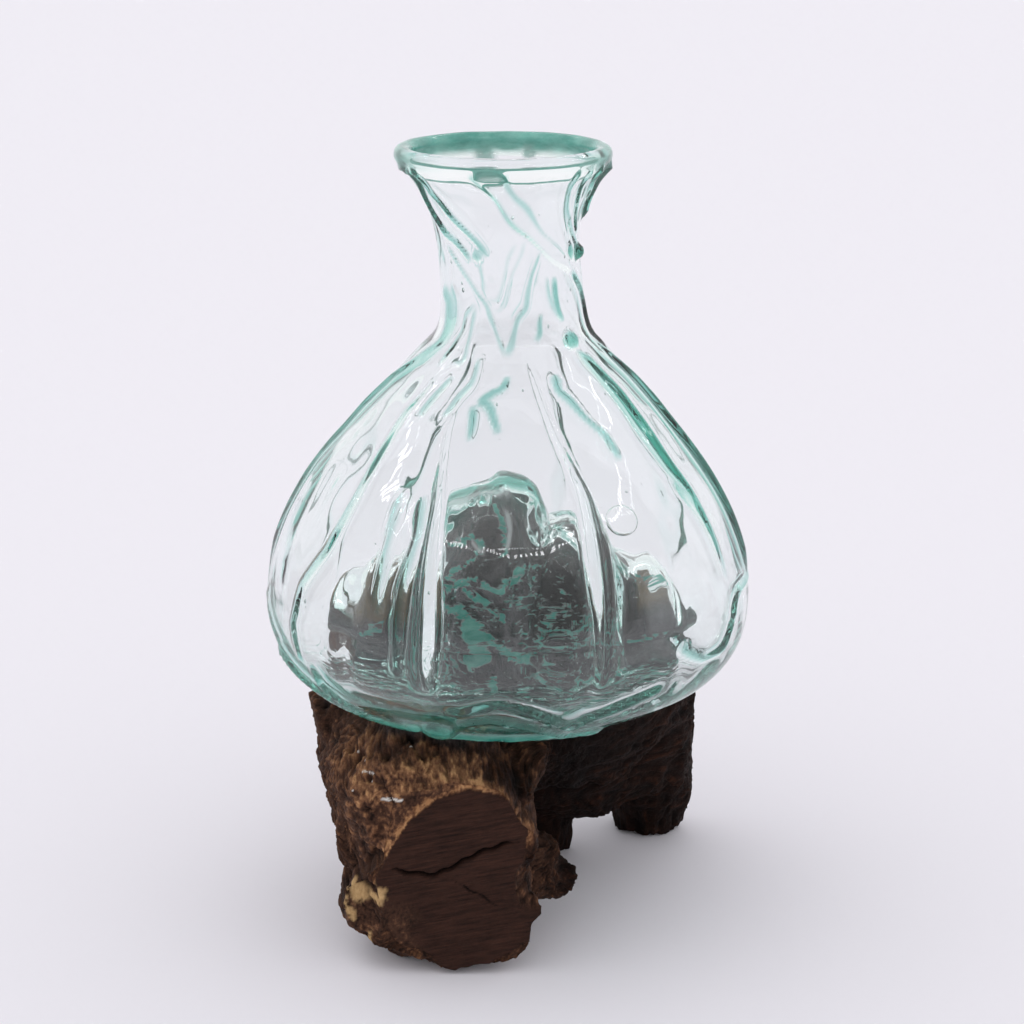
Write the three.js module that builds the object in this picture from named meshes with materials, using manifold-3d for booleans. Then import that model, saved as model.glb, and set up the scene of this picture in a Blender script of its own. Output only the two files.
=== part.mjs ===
// A hand-blown glass carafe that was slumped, hot, over a gnarled root, and the root that carries it.
// Millimetres, +Z up. The sawn end of the root faces -Y. The carafe lifts straight off along +Z.
import * as THREE from 'three';
import * as BufferGeometryUtils from 'three/addons/utils/BufferGeometryUtils.js';
import Module from 'manifold-3d';

const wasm = await Module();
wasm.setup();

// Glass: heights
const seatHeight = 72;
const bowlDepth = 38;
const flankRise = 34;
const hipRise = 57.5;
const collarRise = 77.5;
const napeRise = 84.5;
const neckRise = 101;
const throatRise = 119;
const flareRise = 131;
const lipRise = 139.3;

// Glass: outside radii at those heights
const bowlRadius = 77.6;
const bellyRadius = 74.8;
const bellyRise = 14.5;
const flankRadius = 66;
const hipRadius = 48;
const collarRadius = 30.3;
const napeRadius = 24.4;
const neckRadius = 22.3;
const throatRadius = 23.2;
const flareRadius = 28.2;
const lipRadius = 34;

// Sideways sway of the hand-worked neck at the nape and at the lip
const napeSway = 1.6;
const lipSway = -1.5;

// Glass: how full the lower curve is, where the ribs reach it, and its thickness
const bowlFullness = 2.8;
const ribFootInner = 50;
const ribFootOuter = 70;
const wallThickness = 2.9;
const floorThickness = 4.2;

// The bead that ends the lip: its radius, where the wall meets it, and the arc it is seen to turn
const beadRadius = 2.9;
const beadInset = 0.25;
const beadDrop = 0.8;
const beadStart = -25;
const beadEnd = 205;

// Gap that keeps the glass just clear of the wood
const seatGap = 0.4;

// Domes where the wood pushes up into the glass floor: centre, half width, rise above the floor
const knob = { x: -4, y: 12, width: 20.5, rise: 68 };
const knobShoulder = { x: 16, y: 18, width: 20, rise: 50 };
const leftRise = { x: -39, y: 39, width: 16, rise: 28 };
const rightRise = { x: 37, y: 32, width: 19, rise: 32 };
const domes = [knob, knobShoulder, leftRise, rightRise];
const domeSteepness = 5;
const domeBlend = 4;
const domeFade = 6;

// Ribs pressed out of the wall: azimuth at the collar, half way down and at the foot, how proud and
// how wide, and where they end, as shares of the collar's rise
const ribs = [
  { collar: -78, middle: -96, foot: -88, height: 1.7, width: 2.2, top: 1.03, bottom: -0.06 },
  { collar: -45, middle: -50, foot: -59, height: 1.5, width: 1.5, top: 0.98, bottom: -0.23 },
  { collar: -33, middle: -33, foot: -31, height: 1.6, width: 1.3, top: 0.57, bottom: 0.1 },
  { collar: -27, middle: -25.5, foot: -25, height: 1.5, width: 1.3, top: 0.57, bottom: -0.05 },
  { collar: -26, middle: -20.5, foot: -18.5, height: 3.4, width: 2.6, top: 0.87, bottom: -0.23 },
  { collar: 9, middle: 22, foot: 22, height: 2.8, width: 1.9, top: 1.06, bottom: -0.19 },
  { collar: 51, middle: 61, foot: 65, height: 2.2, width: 1.8, top: 1.03, bottom: 0.2 },
  { collar: 80, middle: 82.5, foot: 86, height: 2.3, width: 2.6, top: 1.08, bottom: 0 },
  { collar: 122, middle: 126, foot: 130, height: 2.2, width: 2.4, top: 0.98, bottom: -0.2 },
  { collar: 158, middle: 163, foot: 168, height: 2.6, width: 2.5, top: 0.95, bottom: -0.23 },
  { collar: -160, middle: -156, foot: -152, height: 2.3, width: 2.3, top: 0.98, bottom: -0.2 },
  { collar: -122, middle: -125.5, foot: -128, height: 2.4, width: 2.4, top: 0.95, bottom: -0.22 },
];
const ribFade = 7;

// How the columns of the glass gather on the ribs: how closely, over how many degrees, and the radii
// between which the rings of the floor begin to do so
const ribGather = 5;
const ribGatherWidth = 3;
const gatherInner = 30;
const gatherOuter = 72;
const gatherFade = 9;

// Trails of glass laid on the neck and flank: their radius, and along each its azimuth and its rise
// as a share of the lip's
const trails = [
  {
    radius: 3.2,
    path: [[-24, 0.955], [-4, 0.94], [14, 0.897], [36, 0.818], [62, 0.732], [80, 0.632], [84, 0.553]],
  },
  { radius: 2, path: [[-72, 0.955], [-66, 0.905], [-50, 0.861], [-38, 0.833], [-24, 0.797]] },
  { radius: 1.7, path: [[-60, 0.811], [-44, 0.761], [-24, 0.675], [-6, 0.581]] },
  { radius: 1.7, path: [[26, 0.718], [12, 0.66], [0, 0.589]] },
  { radius: 2.1, path: [[92, 0.983], [78, 0.919], [70, 0.847], [74, 0.782]] },
  { radius: 1.6, path: [[24, 0.51], [33, 0.438], [41, 0.373]] },
];
const trailThickness = 1.5;
const trailEndShare = 0.55;

// Beads of glass that end a trail or stand alone: azimuth, rise as a share of the lip's, and radius
const beads = [
  { azimuth: 74, rise: 0.782, radius: 2.8 },
  { azimuth: 49, rise: 0.603, radius: 4.6 },
  { azimuth: -24, rise: 0.797, radius: 2.6 },
  { azimuth: 23, rise: 0.524, radius: 2.8 },
];
const beadFlatness = 0.55;

// Root: where it was sawn and how far its limbs reach past the surfaces that trim them
const sawnFaceY = -60;
const trimReach = 8;

// Root: the limbs, each a seed for its bark, level or upright, and stations along it
// A station is x, y, z, half the width across and half the width the other way, where z is a share
// of the seat's height and the others are shares of the bowl's radius
const limbs = [
  // The mass under the bowl, from the left edge to the right one
  {
    seed: 4.2,
    level: true,
    stations: [
      [-0.805, 0.026, 0.792, 0.206, 0.168],
      [-0.567, 0.077, 0.806, 0.348, 0.309],
      [-0.155, 0.129, 0.833, 0.464, 0.374],
      [0.258, 0.284, 0.875, 0.387, 0.322],
      [0.541, 0.438, 0.875, 0.309, 0.284],
      [0.747, 0.541, 0.833, 0.18, 0.168],
    ],
  },
  // The log that was sawn off at the front
  {
    seed: 1.3,
    level: true,
    stations: [
      [-0.2, -0.876, 0.583, 0.277, 0.251],
      [-0.206, -0.657, 0.611, 0.309, 0.309],
      [-0.284, -0.451, 0.639, 0.425, 0.374],
      [-0.348, -0.193, 0.653, 0.464, 0.399],
      [-0.399, 0.129, 0.708, 0.425, 0.374],
      [-0.425, 0.412, 0.764, 0.309, 0.258],
    ],
  },
  // The flare of root below the log
  {
    seed: 2.9,
    level: true,
    stations: [
      [-0.245, -0.876, 0.299, 0.387, 0.245],
      [-0.271, -0.644, 0.292, 0.412, 0.264],
      [-0.309, -0.387, 0.306, 0.387, 0.309],
      [-0.335, -0.103, 0.472, 0.309, 0.258],
    ],
  },
  // The right leg
  {
    seed: 0.6,
    level: false,
    stations: [
      [0.541, 0.464, 1.111, 0.232, 0.284],
      [0.593, 0.554, 0.722, 0.232, 0.271],
      [0.631, 0.683, 0.417, 0.206, 0.219],
      [0.638, 0.76, 0.181, 0.2, 0.168],
      [0.619, 0.786, -0.056, 0.142, 0.116],
    ],
  },
  // The rear leg
  {
    seed: 3.7,
    level: false,
    stations: [
      [-0.103, 0.309, 1, 0.438, 0.309],
      [-0.064, 0.412, 0.611, 0.399, 0.271],
      [-0.039, 0.515, 0.278, 0.348, 0.206],
      [-0.039, 0.554, -0.056, 0.284, 0.155],
    ],
  },
  // The low bridge of wood between the two legs
  {
    seed: 2.2,
    level: true,
    stations: [
      [-0.052, 0.438, 0.569, 0.271, 0.296],
      [0.284, 0.464, 0.556, 0.284, 0.322],
      [0.619, 0.606, 0.569, 0.232, 0.296],
    ],
  },
  // A torn shard to the right of the log
  {
    seed: 5.1,
    level: true,
    stations: [
      [0, -0.438, 0.361, 0.155, 0.168],
      [0.116, -0.412, 0.34, 0.13, 0.16],
      [0.2, -0.4, 0.31, 0.08, 0.13],
      [0.25, -0.41, 0.33, 0.03, 0.07],
      [0.275, -0.42, 0.36, 0.008, 0.015],
    ],
  },
  // A strip of bark that peels off the right of the log
  {
    seed: 7.3,
    level: true,
    stations: [
      [0.1, -0.258, 0.87, 0.08, 0.05],
      [0.09, -0.387, 0.785, 0.07, 0.05],
      [0.06, -0.6, 0.745, 0.04, 0.035],
    ],
  },
  // A thorn of bark to the left of the log
  {
    seed: 6.4,
    level: false,
    stations: [
      [-0.606, -0.49, 0.417, 0.09, 0.077],
      [-0.651, -0.503, 0.528, 0.058, 0.052],
      [-0.677, -0.515, 0.667, 0.012, 0.012],
    ],
  },
];

// Root: where bark and wood broke away round the sawn end, given as the limbs are
const breaks = [
  // Right of the sawn face
  {
    seed: 1.9,
    level: true,
    stations: [
      [0.116, -0.85, 0.4, 0.1, 0.142],
      [0.116, -0.76, 0.4, 0.085, 0.13],
      [0.122, -0.722, 0.39, 0.035, 0.06],
    ],
  },
  // Left of the sawn face
  {
    seed: 3.1,
    level: true,
    stations: [
      [-0.625, -0.85, 0.27, 0.125, 0.22],
      [-0.612, -0.755, 0.27, 0.11, 0.2],
      [-0.6, -0.7, 0.27, 0.05, 0.12],
    ],
  },
];

// Root: the wood in each dome of the glass floor, wider than the dome and rooted nearer the axis
const domeFillShare = 1.3;
const domeFillDepth = 34;
const domeRootShare = 0.55;

// Bark: waves round a limb, how they drift along it, how the seed turns them, and their depth
const barkWaves = [
  { lobes: 2, drift: 5, turned: 1, depth: 0.045 },
  { lobes: 5, drift: -6, turned: 2.3, depth: 0.045 },
  { lobes: 8, drift: 13, turned: 4.1, depth: 0.032 },
  { lobes: 13, drift: -9, turned: 5.2, depth: 0.018 },
];

// Mesh fineness
const glassSegments = 72;
const turnSteps = 1440;
const outlineSteps = 240;
const wallSteps = 16;
const insideSteps = 10;
const lipSteps = 4;
const outerKnobStep = 5;
const outerBendSteps = 11;
const innerKnobStep = 6;
const innerBendSteps = 8;
const bendStartShare = 1.4;
const centredShare = 0.85;
const bendStart = knob.width * bendStartShare;
const centredRadius = bowlRadius * centredShare;
const trailSides = 7;
const beadSides = 10;
const beadRings = 7;
const limbSides = 30;
const limbSteps = 4;

const degrees = Math.PI / 180;
const widest = seatHeight + bowlDepth;

// Outline of the wall above the widest ring, as a radius and a height
function upperOutline() {
  const stations = [
    [bowlRadius, 0],
    [bellyRadius, bellyRise],
    [flankRadius, flankRise],
    [hipRadius, hipRise],
    [collarRadius, collarRise],
    [napeRadius, napeRise],
    [neckRadius, neckRise],
    [throatRadius, throatRise],
    [flareRadius, flareRise],
    [lipRadius - beadRadius * beadInset, lipRise - beadRadius * beadDrop],
  ];
  const points = stations.map(([radius, rise]) => new THREE.Vector3(radius, 0, widest + rise));
  return new THREE.CatmullRomCurve3(points, false, 'centripetal');
}

const outline = upperOutline();
const outlineTable = outline.getSpacedPoints(outlineSteps);

// Outside radius of the plain wall at a rise above the widest ring
function wallRadius(rise) {
  const height = widest + rise;
  const above = outlineTable.findIndex((point) => point.z >= height);
  if (above < 1) {
    return above === 0 ? bowlRadius : lipRadius;
  }
  const low = outlineTable[above - 1];
  const high = outlineTable[above];
  return THREE.MathUtils.mapLinear(height, low.z, high.z, low.x, high.x);
}

// How far the neck has swayed towards +X at a rise above the widest ring
function sway(rise) {
  const toNape = napeSway * THREE.MathUtils.smoothstep(rise, 0, napeRise);
  return toNape + (lipSway - napeSway) * THREE.MathUtils.smoothstep(rise, napeRise, lipRise);
}

// A point on the outside of the wall: azimuth from -Y towards +X, and a share of the lip's rise
function wallPoint(azimuth, share) {
  const rise = share * lipRise;
  const radius = wallRadius(rise);
  const turn = (azimuth - 90) * degrees;
  return new THREE.Vector3(radius * Math.cos(turn) + sway(rise), radius * Math.sin(turn), widest + rise);
}

// Azimuth of a rib at a height
function ribAzimuth(rib, height) {
  const along = 2 * THREE.MathUtils.clamp(1 - (height - widest) / collarRise, 0, 1);
  if (along < 1) {
    return THREE.MathUtils.lerp(rib.collar, rib.middle, along);
  }
  return THREE.MathUtils.lerp(rib.middle, rib.foot, along - 1);
}

// Degrees from a rib at a height to a turn about the axis
function fromRib(rib, turn, height) {
  return THREE.MathUtils.euclideanModulo(turn + 90 - ribAzimuth(rib, height) + 180, 360) - 180;
}

// Turns of a ring's points about the axis, gathered on the ribs by a share
function ringTurns(height, share) {
  const sums = [0];
  for (let i = 0; i < turnSteps; i += 1) {
    let crowd = 1;
    for (const rib of ribs) {
      const apart = fromRib(rib, (i / turnSteps) * 360, height);
      crowd += share * ribGather * Math.exp(-((apart / ribGatherWidth) ** 2));
    }
    sums.push(sums[i] + crowd);
  }
  const turns = [];
  let step = 0;
  for (let i = 0; i < glassSegments; i += 1) {
    const target = (i / glassSegments) * sums[turnSteps];
    while (sums[step + 1] <= target) {
      step += 1;
    }
    const within = (target - sums[step]) / (sums[step + 1] - sums[step]);
    turns.push(((step + within) / turnSteps) * 2 * Math.PI);
  }
  return turns;
}

// How far the ribs stand out of the wall at a turn about the axis and a height
function ribHeight(turn, height) {
  const rise = height - widest;
  let total = 0;
  for (const rib of ribs) {
    const arc = fromRib(rib, turn / degrees, height) * degrees * wallRadius(Math.max(rise, 0));
    const bottom = rib.bottom * collarRise;
    const top = rib.top * collarRise;
    const fadeIn = THREE.MathUtils.smoothstep(rise, bottom - ribFade, bottom + ribFade);
    const fadeOut = 1 - THREE.MathUtils.smoothstep(rise, top - ribFade, top + ribFade);
    total += rib.height * Math.exp(-((arc / rib.width) ** 2)) * fadeIn * fadeOut;
  }
  return total;
}

// Height of the glass floor over a point; inset moves it inwards, lift moves it up
function floorHeight(x, y, inset, lift) {
  const fromAxis = Math.hypot(x, y) / (bowlRadius - inset);
  const curve = Math.max(1 - fromAxis ** bowlFullness, 0) ** (1 / bowlFullness);
  const height = widest - (bowlDepth - lift) * curve;
  const fade = Math.max(1 - fromAxis ** domeFade, 0);
  let lifted = 0;
  for (const dome of domes) {
    const away = Math.hypot(x - dome.x, y - dome.y) / (dome.width + inset);
    lifted += (dome.rise * Math.exp(-(away ** domeSteepness))) ** domeBlend;
  }
  return height + fade * lifted ** (1 / domeBlend);
}

// Radii of the rings of the lower half, close together on the knob and round the bend
function lowerRadii(insideRadius, knobStep, bendSteps) {
  const radii = [];
  for (let radius = knobStep; radius < bendStart; radius += knobStep) {
    radii.push(radius);
  }
  const firstTurn = Math.acos((bendStart / insideRadius) ** (bowlFullness / 2));
  for (let i = 0; i <= bendSteps; i += 1) {
    const turn = firstTurn * (1 - i / bendSteps);
    radii.push(insideRadius * Math.cos(turn) ** (2 / bowlFullness));
  }
  return radii;
}

// One ring of the lower half: its centre slides from the knob to the axis as it widens
function lowerRing(radius, inset, lift, ribbed) {
  const ring = [];
  const slide = Math.max(1 - radius / centredRadius, 0);
  for (const turn of ringTurns(widest, THREE.MathUtils.smoothstep(radius, gatherInner, gatherOuter))) {
    const x = knob.x * slide + radius * Math.cos(turn);
    const y = knob.y * slide + radius * Math.sin(turn);
    const height = floorHeight(x, y, inset, lift);
    const reached = THREE.MathUtils.smoothstep(radius, ribFootInner, ribFootOuter);
    const proud = ribbed ? ribHeight(turn, height) * reached : 0;
    ring.push(new THREE.Vector3(x + proud * Math.cos(turn), y + proud * Math.sin(turn), height));
  }
  return ring;
}

// One level ring of the upper half
function upperRing(radius, height, ribbed) {
  const ring = [];
  const shift = sway(height - widest);
  const collar = widest + collarRise;
  const gathered = 1 - THREE.MathUtils.smoothstep(height, collar, collar + gatherFade);
  for (const turn of ringTurns(height, gathered)) {
    const reach = radius + (ribbed ? ribHeight(turn, height) : 0);
    ring.push(new THREE.Vector3(reach * Math.cos(turn) + shift, reach * Math.sin(turn), height));
  }
  return ring;
}

// A closed body through rings of equal count, with a point at each end
function loft(rings, firstPole, lastPole) {
  const sides = rings[0].length;
  const positions = [];
  for (const point of [firstPole, ...rings.flat(), lastPole]) {
    positions.push(point.x, point.y, point.z);
  }
  const last = rings.length * sides + 1;
  const index = [];
  for (let i = 0; i < sides; i += 1) {
    const next = (i + 1) % sides;
    index.push(0, 1 + next, 1 + i);
    for (let r = 0; r < rings.length - 1; r += 1) {
      const low = 1 + r * sides;
      const high = low + sides;
      index.push(low + i, low + next, high + next);
      index.push(low + i, high + next, high + i);
    }
    index.push(last - sides + i, last - sides + next, last);
  }
  const geometry = new THREE.BufferGeometry();
  geometry.setAttribute('position', new THREE.Float32BufferAttribute(positions, 3));
  geometry.setIndex(index);
  return geometry;
}

// A solid that can be joined and cut, and the way back to a geometry
function toSolid(geometry) {
  geometry.deleteAttribute('normal');
  geometry.deleteAttribute('uv');
  const merged = BufferGeometryUtils.mergeVertices(geometry);
  const mesh = new wasm.Mesh({
    numProp: 3,
    vertProperties: new Float32Array(merged.getAttribute('position').array),
    triVerts: new Uint32Array(merged.getIndex().array),
  });
  return new wasm.Manifold(mesh);
}

function toGeometry(solid) {
  const mesh = solid.getMesh();
  const geometry = new THREE.BufferGeometry();
  geometry.setAttribute('position', new THREE.BufferAttribute(mesh.vertProperties, 3));
  geometry.setIndex(new THREE.BufferAttribute(mesh.triVerts, 1));
  return geometry;
}

function box(xSize, ySize, zSize, centre) {
  const geometry = new THREE.BoxGeometry(xSize, ySize, zSize);
  geometry.translate(centre.x, centre.y, centre.z);
  return toSolid(geometry);
}

// The vessel: one skin that runs up the outside, over the lip and down the inside
function carafeShell() {
  const outerRadii = lowerRadii(bowlRadius, outerKnobStep, outerBendSteps);
  const rings = outerRadii.map((radius) => lowerRing(radius, 0, 0, true));
  for (const point of outline.getSpacedPoints(wallSteps).slice(1)) {
    rings.push(upperRing(point.x, point.z, true));
  }
  for (let i = 0; i <= lipSteps; i += 1) {
    const turn = THREE.MathUtils.lerp(beadStart, beadEnd, i / lipSteps) * degrees;
    const radius = lipRadius - beadRadius + beadRadius * Math.cos(turn);
    rings.push(upperRing(radius, widest + lipRise + beadRadius * Math.sin(turn), false));
  }
  for (let i = insideSteps - 1; i > 0; i -= 1) {
    const share = i / insideSteps;
    const point = outline.getPointAt(share);
    const along = outline.getTangentAt(share);
    rings.push(upperRing(point.x - wallThickness * along.z, point.z + wallThickness * along.x, false));
  }
  const insideRadius = bowlRadius - wallThickness;
  const insideRadii = lowerRadii(insideRadius, innerKnobStep, innerBendSteps);
  for (const radius of insideRadii.reverse()) {
    rings.push(lowerRing(radius, wallThickness, floorThickness, false));
  }
  const outerPole = new THREE.Vector3(knob.x, knob.y, floorHeight(knob.x, knob.y, 0, 0));
  const innerHeight = floorHeight(knob.x, knob.y, wallThickness, floorThickness);
  return toSolid(loft(rings, outerPole, new THREE.Vector3(knob.x, knob.y, innerHeight)));
}

// A flat rod that tapers at both ends along points, used for the trails of glass
function rod(points, radius) {
  const curve = new THREE.CatmullRomCurve3(points);
  const steps = points.length * 2;
  const rings = [];
  for (let s = 0; s <= steps; s += 1) {
    const share = s / steps;
    const centre = curve.getPointAt(share);
    const along = curve.getTangentAt(share);
    const outwards = new THREE.Vector3(centre.x, centre.y, 0).normalize();
    const across = new THREE.Vector3().crossVectors(along, outwards).normalize();
    const away = new THREE.Vector3().crossVectors(across, along).normalize();
    const width = radius * THREE.MathUtils.lerp(trailEndShare, 1, Math.sin(share * Math.PI));
    const ring = [];
    for (let i = 0; i < trailSides; i += 1) {
      const turn = (i / trailSides) * 2 * Math.PI;
      const point = centre.clone().addScaledVector(across, width * Math.cos(turn));
      ring.push(point.addScaledVector(away, trailThickness * Math.sin(turn)));
    }
    rings.push(ring);
  }
  return toSolid(loft(rings.reverse(), curve.getPointAt(1), curve.getPointAt(0)));
}

function glassBead(bead) {
  const geometry = new THREE.SphereGeometry(bead.radius, beadSides, beadRings);
  geometry.scale(1, beadFlatness, 1);
  geometry.rotateZ(bead.azimuth * degrees);
  const centre = wallPoint(bead.azimuth, bead.rise);
  geometry.translate(centre.x, centre.y, centre.z);
  return toSolid(geometry);
}

function glassCarafe() {
  let solid = carafeShell();
  for (const trail of trails) {
    const points = trail.path.map(([azimuth, share]) => wallPoint(azimuth, share));
    solid = solid.add(rod(points, trail.radius));
  }
  for (const bead of beads) {
    solid = solid.add(glassBead(bead));
  }
  return solid;
}

// The space that the glass needs to sit down and lift off, which trims the wood to its shape
function liftSpace() {
  const rings = lowerRadii(bowlRadius, outerKnobStep, outerBendSteps).map((radius) => {
    const ring = lowerRing(radius, 0, 0, true);
    return ring.map((point) => {
      const height = floorHeight(point.x, point.y, -seatGap, -seatGap);
      return new THREE.Vector3(point.x, point.y, Math.min(height, point.z - seatGap));
    });
  });
  const clear = bowlRadius + Math.max(...ribs.map((rib) => rib.height)) + seatGap;
  const ceiling = widest + lipRise;
  rings.push(upperRing(clear, widest, false));
  rings.push(upperRing(clear, ceiling, false));
  const lowest = new THREE.Vector3(knob.x, knob.y, floorHeight(knob.x, knob.y, -seatGap, -seatGap));
  return toSolid(loft(rings, lowest, new THREE.Vector3(0, 0, ceiling)));
}

// How far the bark swells or shrinks at a turn round a limb and a share of its length
function gnarl(turn, share, seed) {
  let swell = 1;
  for (const wave of barkWaves) {
    swell += wave.depth * Math.sin(wave.lobes * turn + wave.drift * share + wave.turned * seed);
  }
  return swell;
}

// A limb of the root, lofted through its stations
function limb({ stations, seed, level }) {
  const centres = stations.map(([x, y, z]) =>
    new THREE.Vector3(x * bowlRadius, y * bowlRadius, z * seatHeight));
  const curve = new THREE.CatmullRomCurve3(centres);
  const reference = level ? new THREE.Vector3(0, 0, 1) : new THREE.Vector3(0, 1, 0);
  const steps = (stations.length - 1) * limbSteps;
  const rings = [];
  for (let s = 0; s <= steps; s += 1) {
    const share = s / steps;
    const centre = curve.getPoint(share);
    const along = curve.getTangent(share);
    const across = new THREE.Vector3().crossVectors(along, reference).normalize();
    const other = new THREE.Vector3().crossVectors(across, along).normalize();
    const from = stations[Math.floor(s / limbSteps)];
    const to = stations[Math.ceil(s / limbSteps)];
    const between = (s % limbSteps) / limbSteps;
    const halfWidth = THREE.MathUtils.lerp(from[3], to[3], between) * bowlRadius;
    const otherHalf = THREE.MathUtils.lerp(from[4], to[4], between) * bowlRadius;
    const ring = [];
    for (let i = 0; i < limbSides; i += 1) {
      const turn = (i / limbSides) * 2 * Math.PI;
      const swell = gnarl(turn, share, seed);
      const wide = halfWidth * swell * Math.cos(turn);
      const tall = otherHalf * swell * Math.sin(turn);
      ring.push(centre.clone().addScaledVector(across, wide).addScaledVector(other, tall));
    }
    rings.push(ring);
  }
  return toSolid(loft(rings.reverse(), curve.getPoint(1), curve.getPoint(0)));
}

// The wood that fills a dome of the glass floor, rooted in the crown; the lift space trims it
function domeFill(dome, seed) {
  const x = dome.x / bowlRadius;
  const y = dome.y / bowlRadius;
  const reach = (dome.width * domeFillShare) / bowlRadius;
  const rooted = [x, y, reach].map((value) => value * domeRootShare);
  const stations = [
    [rooted[0], rooted[1], 1 - domeFillDepth / seatHeight, rooted[2], rooted[2]],
    [x, y, 1 - trimReach / seatHeight, reach, reach],
    [x, y, 1 + dome.rise / 2 / seatHeight, reach, reach],
    [x, y, 1 + (dome.rise + trimReach) / seatHeight, reach, reach],
  ];
  return limb({ stations, seed, level: false });
}

function rootBase() {
  const parts = [...limbs.map(limb), ...domes.map((dome, i) => domeFill(dome, i + 1))];
  const solid = parts.reduce((joined, part) => joined.add(part));
  const span = 4 * bowlRadius;
  const belowFloor = box(span, span, span, new THREE.Vector3(0, 0, -span / 2));
  const pastSaw = box(span, span, span, new THREE.Vector3(0, sawnFaceY - span / 2, 0));
  const sawn = solid.subtract(belowFloor).subtract(pastSaw);
  const broken = breaks.map(limb).reduce((left, piece) => left.subtract(piece), sawn);
  return broken.subtract(liftSpace());
}

const glassMaterial = new THREE.MeshStandardMaterial({ color: 0xcfe6e2, roughness: 0.04, metalness: 0 });
const woodMaterial = new THREE.MeshStandardMaterial({ color: 0x6b4a2f, roughness: 0.85, metalness: 0 });

const carafeMesh = new THREE.Mesh(toGeometry(glassCarafe()), glassMaterial);
carafeMesh.name = 'glass_carafe';
const rootMesh = new THREE.Mesh(toGeometry(rootBase()), woodMaterial);
rootMesh.name = 'root_base';

// The origin is on the floor, under the middle of the whole object
const object = new THREE.Group();
object.add(carafeMesh, rootMesh);
const middle = new THREE.Box3().setFromObject(object).getCenter(new THREE.Vector3());
object.position.set(-middle.x, -middle.y, 0);

export default object;
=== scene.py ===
import math
from contextlib import contextmanager

import bmesh
import bpy
import numpy as np
from bpy.props import FloatProperty, FloatVectorProperty, IntProperty, PointerProperty
from mathutils import Matrix, Vector, noise


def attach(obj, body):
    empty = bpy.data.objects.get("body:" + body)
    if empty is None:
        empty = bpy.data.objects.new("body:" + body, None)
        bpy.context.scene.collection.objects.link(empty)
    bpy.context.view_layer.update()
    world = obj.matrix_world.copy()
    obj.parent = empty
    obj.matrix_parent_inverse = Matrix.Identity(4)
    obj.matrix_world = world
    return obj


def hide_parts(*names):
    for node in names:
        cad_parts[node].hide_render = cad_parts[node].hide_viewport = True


bl_info = {
    "name": "Glass carafe on a root",
    "version": (1, 0, 0),
    "blender": (4, 5, 0),
    "location": "View3D > Sidebar > Carafe",
    "description": "A hand-blown glass carafe slumped over a gnarled root",
    "category": "Add Mesh",
}

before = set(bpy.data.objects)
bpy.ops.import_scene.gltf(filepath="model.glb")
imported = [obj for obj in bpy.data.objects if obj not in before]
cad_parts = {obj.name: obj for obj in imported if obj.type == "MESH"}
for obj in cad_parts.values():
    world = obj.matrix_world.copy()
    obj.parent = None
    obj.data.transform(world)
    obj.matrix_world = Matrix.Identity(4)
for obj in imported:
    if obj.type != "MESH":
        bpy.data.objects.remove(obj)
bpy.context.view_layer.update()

MM = 0.001

# The carafe's axis in the frame, in millimetres. All the sizes below are in millimetres from it.
AXIS = np.array([0.3135, -0.3406, 0.0])

# Glass: heights, outside radii and the rise of each above the widest ring
SEAT_HEIGHT = 72.0
BOWL_DEPTH = 38.0
WIDEST = SEAT_HEIGHT + BOWL_DEPTH
BOWL_RADIUS = 77.6
BOWL_FULLNESS = 2.8
LIP_RADIUS = 34.0
LIP_RISE = 139.3
LIP_BEAD = 2.9
LIP_ARC = (-25.0, 205.0)
OUTLINE = [
    (BOWL_RADIUS, 0),
    (74.8, 14.5),
    (66, 34),
    (48, 57.5),
    (30.3, 77.5),
    (24.4, 84.5),
    (22.3, 101),
    (23.2, 119),
    (28.2, 131),
    (LIP_RADIUS - 0.25 * LIP_BEAD, LIP_RISE - 0.8 * LIP_BEAD),
]
OUTLINE_STEPS = 60
NAPE_RISE = 84.5
NAPE_SWAY = 1.6
LIP_SWAY = -1.5
WALL = 2.9
FLOOR = 4.2
SEAT_GAP = 0.4
# Stands for the height of the glass where there is none above the wood
NO_GLASS = 1000.0

# Domes that the root pushed up into the soft glass: centre, half width and rise
DOMES = [(-6.5, 12, 18.5, 62), (14, 17, 20.5, 49), (-39, 39, 16, 28), (37, 32, 19, 32)]
DOME_STEEPNESS = 5
DOME_BLEND = 4
DOME_FADE = 6
KNOB_X, KNOB_Y = DOMES[0][:2]
CENTRED_RADIUS = 0.85 * BOWL_RADIUS

# The skin of the glass runs up the outside, over the lip and down the inside, in five stretches. Each
# has its number of rings, and the radius that its strip ends at before it is spun.
UNDER, OUTSIDE, LIP, INSIDE, BOTTOM = range(5)
RINGS = (124, 126, 12, 44, 112)
STRIP_ENDS = (4.0, 3.0, 2.5, 3.5, 0.0)
# The share of the outside that the rings have reached at shares of their count, and the inside's ends
OUTSIDE_SPREAD = ([0, 0.52, 1], [0, 0.62, 1])
INSIDE_TOP, INSIDE_LENGTH = 0.985, 0.975
# How far the points of a ring crowd towards the front and towards the ribs, and between which heights or
# radii that begins
FRONT_CROWD, RIB_CROWD, RIB_CROWD_DEGREES = 0.42, 1.1, 4.0
CROWD_HEIGHTS, CROWD_RADII, HIGHEST_RIB = (176, 196), (30, 72), 250

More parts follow.
